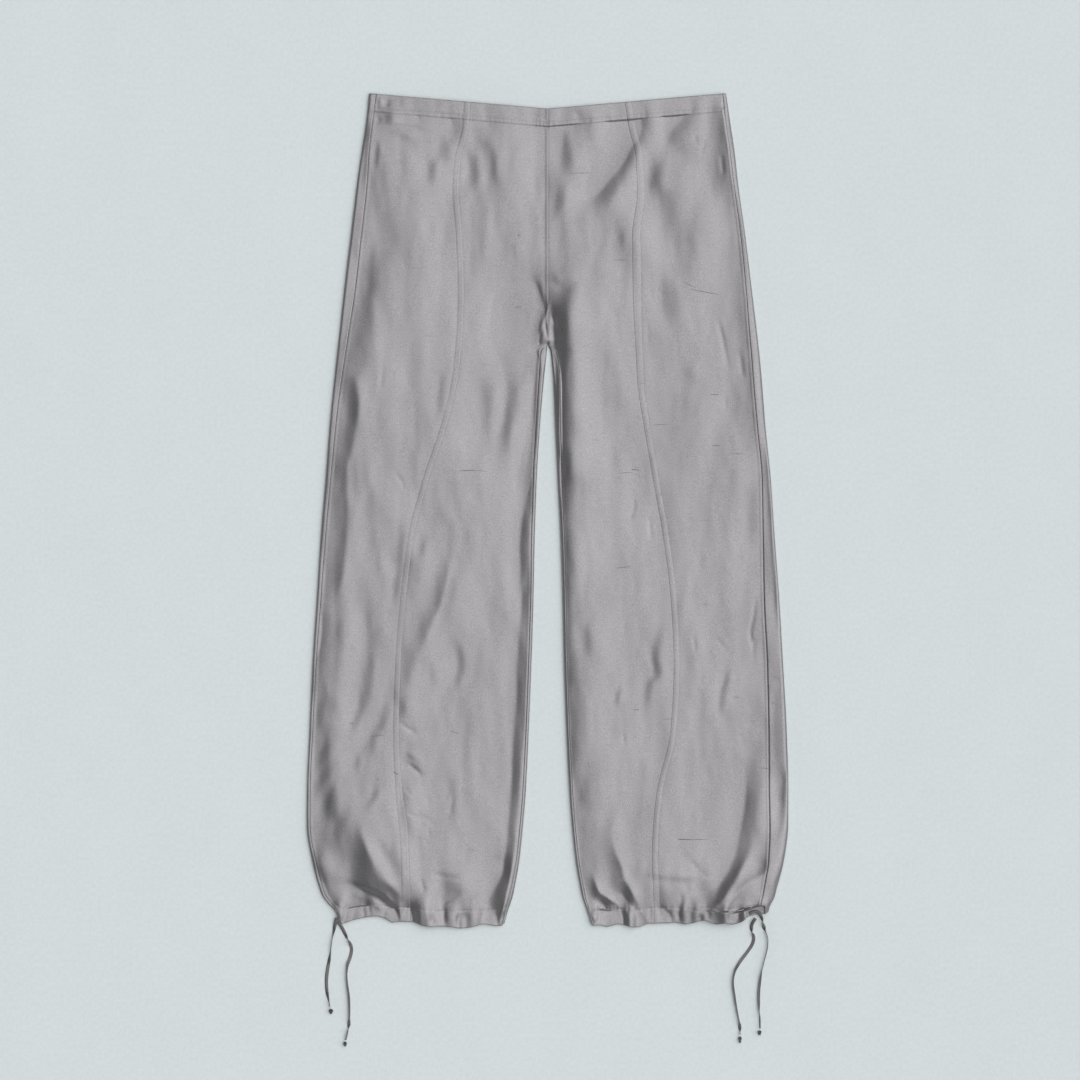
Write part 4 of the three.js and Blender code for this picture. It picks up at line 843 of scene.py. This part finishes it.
def sweep(name, line, side, width, thick, closed=False):
    """A flat strip along a line: side is its unit direction across at each point."""
    tangent = np.gradient(line, axis=0)
    if closed:
        tangent = np.roll(line, -1, 0) - np.roll(line, 1, 0)
    tangent /= np.linalg.norm(tangent, axis=1, keepdims=True)
    side = side - (side * tangent).sum(1, keepdims=True) * tangent
    side /= np.linalg.norm(side, axis=1, keepdims=True)
    up = np.cross(tangent, side)
    ring = []
    for a in np.linspace(0, 2 * np.pi, 14, endpoint=False):
        c, s = math.cos(a), math.sin(a)
        ring.append((math.copysign(abs(c) ** 0.8, c) * width / 2, math.copysign(abs(s) ** 0.6, s) * thick / 2))
    ring = np.array(ring)
    width = np.ones(len(line)) if np.isscalar(width) else width
    verts = line[:, None, :] + side[:, None, :] * ring[None, :, 0:1] + up[:, None, :] * ring[None, :, 1:2]
    # the middle of the strip stands a little proud of its edges
    crown = 0.18 * (1 - (2 * ring[:, 0] / np.ptp(ring[:, 0])) ** 2)
    verts = verts + up[:, None, :] * crown[None, :, None]
    R, C = verts.shape[:2]
    i = np.arange(R * C).reshape(R, C)
    nxt = np.roll(i, -1, 1)
    if closed:
        quads = np.stack([i, nxt, np.roll(nxt, -1, 0), np.roll(i, -1, 0)], -1).reshape(-1, 4)
        return verts.reshape(-1, 3), quads, np.zeros((0, 3), int)
    quads = np.stack([i[:-1], nxt[:-1], nxt[1:], i[1:]], -1).reshape(-1, 4)
    v = np.concatenate([verts.reshape(-1, 3), line[:1], line[-1:]])
    a, b = R * C, R * C + 1
    tris = [(a, i[0, (k + 1) % C], i[0, k]) for k in range(C)] + [(b, i[-1, k], i[-1, (k + 1) % C]) for k in range(C)]
    return v, quads, np.array(tris)


def outward(o):
    """Faces point out of a closed mesh."""
    bm_volume = 0.0
    me = o.data
    me.calc_loop_triangles()
    for t in me.loop_triangles:
        a, b, c = (me.vertices[k].co for k in t.vertices)
        bm_volume += a.dot(b.cross(c))
    if bm_volume < 0:
        me.flip_normals()
    return o


ribbons = {}
for node, route in ROUTES.items():
    line = through([(x + SHIFT[0], y + SHIFT[1], z) for x, y, z in route], 1.3)
    turn = np.zeros(len(line))
    for y, half, share in TURNS[node]:
        turn += np.pi * share * smooth((y + half - line[:, 1]) / (2 * half))
    slack = 0.16 * np.sin(np.arange(len(line)) * 0.11 + len(node))
    turn = turn + slack
    t = np.gradient(line, axis=0)
    t /= np.linalg.norm(t, axis=1, keepdims=True)
    flat = np.cross(np.array([0, 0, 1.0]), t)
    flat /= np.linalg.norm(flat, axis=1, keepdims=True)
    side = flat * np.cos(turn)[:, None] + np.array([0, 0, 1.0]) * np.sin(turn)[:, None]
    # it lies on the surface: on its flat, or on its edge where it turns over
    rest = 0.42 + RIBBON_W / 2 * np.abs(np.sin(turn))
    low = smooth((line[:, 1] + 498) / -22) if "_l_" in node else smooth((line[:, 1] + 503) / -14)
    line[:, 2] = line[:, 2] * (1 - low) + rest * low
    v, q, tr = sweep(node, line, side, RIBBON_W, RIBBON_T)
    o = outward(mesh_object("ribbon_" + node.split("_", 1)[1], v, q, tr))
    o.data.materials.append(CORD_CLOTH)
    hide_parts(node)
    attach(o, "root")
    ribbons[node] = (o, line)

for node, (x, y, rx, ry, rz) in KNOTS.items():
    # an overhand knot of the ribbon, pulled tight
    k = np.linspace(0, 2 * np.pi, 90, endpoint=False)
    path = np.column_stack([np.sin(k) + 2 * np.sin(2 * k), np.cos(k) - 2 * np.cos(2 * k), -1.1 * np.sin(3 * k)])
    path /= np.array([3.0, 3.0, 1.1])
    path = path * np.array([rx - 0.9, ry - 1.2, rz - 0.75]) + np.array([x + SHIFT[0], y + SHIFT[1], rz + 0.25])
    outwards = path - np.array([x + SHIFT[0], y + SHIFT[1], rz])
    across = np.cross(np.roll(path, -1, 0) - path, outwards)
    across /= np.linalg.norm(across, axis=1, keepdims=True)
    v, q, tr = sweep(node, path, across, 2.1, 0.9, closed=True)
    o = outward(mesh_object("tied_" + node, v, q, tr))
    o.data.materials.append(CORD_CLOTH)
    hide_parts(node)
    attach(o, "root")
    ribbons[node] = (o, None)

for name, length in {"drawcord_r_a": 0.111, "drawcord_r_b": 0.150, "drawcord_l_a": 0.151, "drawcord_l_b": 0.157}.items():
    o, line = ribbons[name]
    measured = float(np.linalg.norm(np.diff(line, axis=0), axis=1).sum()) * MM


# ---- stitches and slubs ---------------------------------------------------------------
def spindles(starts, ends, normals, radius, tip=0.35):
    """Short raised threads from start to end, four-sided, pointed at both ends."""
    axis = ends - starts
    length = np.linalg.norm(axis, axis=1, keepdims=True)
    t = axis / np.maximum(length, 1e-9)
    side = np.cross(normals, t)
    side /= np.maximum(np.linalg.norm(side, axis=1, keepdims=True), 1e-9)
    up = np.cross(t, side)
    radius = np.broadcast_to(np.asarray(radius, float).reshape(-1, 1), (len(starts), 1))
    v = [starts - 0.3 * radius * up]
    for share in (0.22, 0.78):
        c = starts + axis * share
        v += [c + side * radius, c + up * radius, c - side * radius, c - up * radius]
    v.append(ends - 0.3 * radius * up)
    v = np.stack(v, 1)
    base = (np.arange(len(starts)) * 10)[:, None]
    tris = np.array([(0, 2, 1), (0, 3, 2), (0, 4, 3), (0, 1, 4), (9, 5, 6), (9, 6, 7), (9, 7, 8), (9, 8, 5)])
    quads = np.array([(1, 2, 6, 5), (2, 3, 7, 6), (3, 4, 8, 7), (4, 1, 5, 8)])
    return v.reshape(-1, 3), (base[:, :, None] + quads[None]).reshape(-1, 4), (base[:, :, None] + tris[None]).reshape(-1, 3)


def stitch_row(points, normals, pitch, length, rng, proud=0.02):
    """Stitch ends and normals along a line of points on the cloth."""
    step = np.linalg.norm(np.diff(points, axis=0), axis=1)
    cum = np.concatenate([[0], np.cumsum(step)])
    if cum[-1] < pitch * 2:
        return None
    at = np.arange(pitch * 0.5, cum[-1] - pitch, pitch)
    at = at + rng.uniform(-0.12, 0.12, len(at)) * pitch

    def put(s, arr):
        return np.column_stack([np.interp(s, cum, arr[:, k]) for k in range(3)])

    n = put(at + length / 2, normals)
    n /= np.linalg.norm(n, axis=1, keepdims=True)
    return put(at, points) + n * proud, put(at + length, points) + n * proud, n


def thread_object(name, rows, radius, mat):
    rows = [r for r in rows if r is not None]
    a, b, n = (np.concatenate([r[k] for r in rows]) for k in range(3))
    v, q, t = spindles(a, b, n, radius)
    o = mesh_object(name, v, q, t)
    o.data.materials.append(mat)
    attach(o, "root")
    return o


for leg in ("r", "l"):
    rng = np.random.default_rng(7 if leg == "r" else 8)
    c, s, b = panels["front_center_" + leg], panels["front_side_" + leg], panels["back_" + leg]
    rows_y = c.rows
    waist = [int(np.argmin(np.abs(rows_y - (WAIST_Y - w)))) for w in (17.1, 22.6)]
    hem = int(np.argmin(np.abs(rows_y - (HEM_Y + 19.6))))
    lines = []
    for p in (c, s):
        for r in (*waist, hem):
            lines.append(stitch_row(p.outer[r], p.normal[r], 3.0, 2.1, rng))
    col = len(BAND_STEPS) + 4 + 2  # the stitched line at the far side of the band
    lines.append(stitch_row(s.outer[:, col], s.normal[:, col], 3.0, 2.2, rng))
    lines.append(stitch_row(s.outer[:, 4], s.normal[:, 4], 3.0, 2.2, rng))
    lines.append(stitch_row(s.outer[:, -6], s.normal[:, -6], 3.2, 2.2, rng))
    brows = b.rows
    for w in (WAIST_Y - 17.1, WAIST_Y - 22.6, HEM_Y + 19.6):
        r = int(np.argmin(np.abs(brows - w)))
        lines.append(stitch_row(b.outer[r], b.normal[r], 3.0, 2.1, rng))
    thread_object("stitches_" + leg, lines, 0.16, THREAD)

# a thicker yarn here and there in the cloth: x0, y0, x1, y1 on the crease plan, and radius in mm
SLUBS = [
    (460.5, 470.8, 474, 470.4, 0.42), (474, 470.6, 486, 471.2, 0.26), (349, 723.4, 354.5, 723.8, 0.34), (370, 736.4, 384, 735.2, 0.3), (451, 731, 458.5, 733.5, 0.34),
    (393.5, 772, 398, 774.5, 0.4), (376, 779, 379.4, 779.3, 0.34), (517.4, 235, 519.6, 235.2, 0.4), (515, 307.2, 521, 306.8, 0.36), (570, 173.4, 590, 172.8, 0.26),
    (614, 260.2, 628, 259.8, 0.28), (685, 282.6, 695, 287.6, 0.3), (691, 289.6, 717.6, 294.4, 0.34), (710.6, 394.6, 719, 394.4, 0.38), (712, 445.7, 720, 445.6, 0.32),
    (632, 469.6, 639, 470.2, 0.42), (619, 473.2, 632, 472.4, 0.24), (654, 424.8, 667, 424.4, 0.26), (730, 454.1, 743, 453.8, 0.3), (640, 383, 646, 383.2, 0.3),
    (707.8, 338.6, 709.8, 338.8, 0.38), (615.6, 568.2, 629.7, 566.6, 0.32), (734, 697, 739, 697.3, 0.32), (772, 702.8, 775.5, 703, 0.32), (633, 709.9, 639, 709.6, 0.4),
    (658.6, 494, 661, 494.1, 0.38), (663, 719.2, 673, 718.8, 0.26), (678.4, 839.2, 692, 839.6, 0.46), (692, 839.5, 707, 839.2, 0.3), (761.6, 768, 768, 768.3, 0.34),
    (394, 560, 402, 560.3, 0.2), (425, 336, 433, 336.2, 0.2), (505, 612, 512, 612.2, 0.2), (700, 520, 709, 520.3, 0.2), (592, 440, 600, 440.2, 0.22),
    (470, 850, 478, 850.3, 0.2), (702, 604, 708, 604.2, 0.22), (606, 745, 612, 745.2, 0.2), (413, 268, 420, 268.3, 0.2), (730, 640, 736, 640.2, 0.2),
]
bpy.context.view_layer.update()


def on_cloth(x, y):
    """The cloth's top and its normal at a place in the row frame, in mm."""
    best = None
    for node in panels:
        hit, at, n, _ = panels[node].object.ray_cast(Vector((x * MM, y * MM, 0.1)), Vector((0, 0, -1)))
        if hit and (best is None or at.z > best[0].z):
            best = (at.copy(), n.copy())
    return None if best is None else (np.array(best[0]) / MM, np.array(best[1]))


slub_rows = {"r": [], "l": []}
slub_radius = {"r": [], "l": []}
for x0, y0, x1, y1, radius in SLUBS:
    pts = []
    n = max(2, int(math.hypot(x1 - x0, y1 - y0) / 2.4))
    for k in range(n + 1):
        px, py = x0 + (x1 - x0) * k / n, y0 + (y1 - y0) * k / n
        pts.append(on_cloth((px - 547.5) * UNIT + SHIFT[0], (511 - py) * UNIT + SHIFT[1]))
    if any(p is None for p in pts):
        continue
    leg = "r" if x0 < 547.5 else "l"
    P, Nn = np.array([p[0] for p in pts]), np.array([p[1] for p in pts])
    ext = (P[1:] - P[:-1]) * 0.22
    slub_rows[leg].append((P[:-1] - ext, P[1:] + ext, (Nn[1:] + Nn[:-1]) / 2))
    slub_radius[leg] += [radius * (0.55 + 0.45 * math.sin(math.pi * (k + 0.5) / n)) for k in range(n)]
slubs = {leg: thread_object("slubs_" + leg, slub_rows[leg], slub_radius[leg], SLUB) for leg in ("r", "l")}

# ---- what each sheet was cut to ---------------------------------------------------------
# width and length of the cut in metres, and its flat area, seam and casing turnings left out
CUTS = {
    "front_center_r": (0.164, 1.021, 0.1250), "front_center_l": (0.137, 1.021, 0.1100),
    "front_side_r": (0.126, 1.021, 0.1110), "front_side_l": (0.142, 1.021, 0.1250),
    "back_r": (0.300, 1.025, 0.2700), "back_l": (0.310, 1.025, 0.2800),
}
for node, (w, h, area) in CUTS.items():
    leg = node[-1]
    p = panels[node]

# ---- floor, world ---------------------------------------------------------------------------
floor = mesh_object("floor", np.array([(-6000, -6000, -0.06), (6000, -6000, -0.06), (6000, 6000, -0.06), (-6000, 6000, -0.06)], float), [(0, 1, 2, 3)])
paper = material("paper", (0.782, 0.846, 0.861), 0.85, 0.0, vary=0.04, threads=(40.0, 60.0), fine=260.0)
paper.node_tree.nodes["Principled BSDF"].inputs["Specular IOR Level"].default_value = 0.1
floor.data.materials.append(paper)

LOW, HIGH = 0.045, 2.2  # brightness of the room, and of the middle of the softbox
world = bpy.data.worlds.new("studio")
bpy.context.scene.world = world
world.use_nodes = True
wt = world.node_tree
background = wt.nodes["Background"]
coords = wt.nodes.new("ShaderNodeTexCoord")
dot = wt.nodes.new("ShaderNodeVectorMath")
dot.operation = "DOT_PRODUCT"
key = Vector((0.42, 0.12, 1.0)).normalized()
dot.inputs[1].default_value = key
wt.links.new(coords.outputs["Generated"], dot.inputs[0])
spread = wt.nodes.new("ShaderNodeMapRange")
spread.inputs["From Min"].default_value, spread.inputs["From Max"].default_value = 0.58, 1.0
spread.inputs["To Min"].default_value, spread.inputs["To Max"].default_value = LOW, HIGH
wt.links.new(dot.outputs["Value"], spread.inputs["Value"])
aloft = wt.nodes.new("ShaderNodeSeparateXYZ")
wt.links.new(coords.outputs["Generated"], aloft.inputs["Vector"])
walls = wt.nodes.new("ShaderNodeMapRange")  # pale walls low round the table
walls.inputs["From Min"].default_value, walls.inputs["From Max"].default_value = 0.1, 0.55
walls.inputs["To Min"].default_value, walls.inputs["To Max"].default_value = 0.55, 0.0
wt.links.new(aloft.outputs["Z"], walls.inputs["Value"])
both = wt.nodes.new("ShaderNodeMath")
both.operation = "ADD"
wt.links.new(spread.outputs["Result"], both.inputs[0])
wt.links.new(walls.outputs["Result"], both.inputs[1])
wt.links.new(both.outputs["Value"], background.inputs["Strength"])
background.inputs["Color"].default_value = (1.0, 1.0, 1.0, 1)
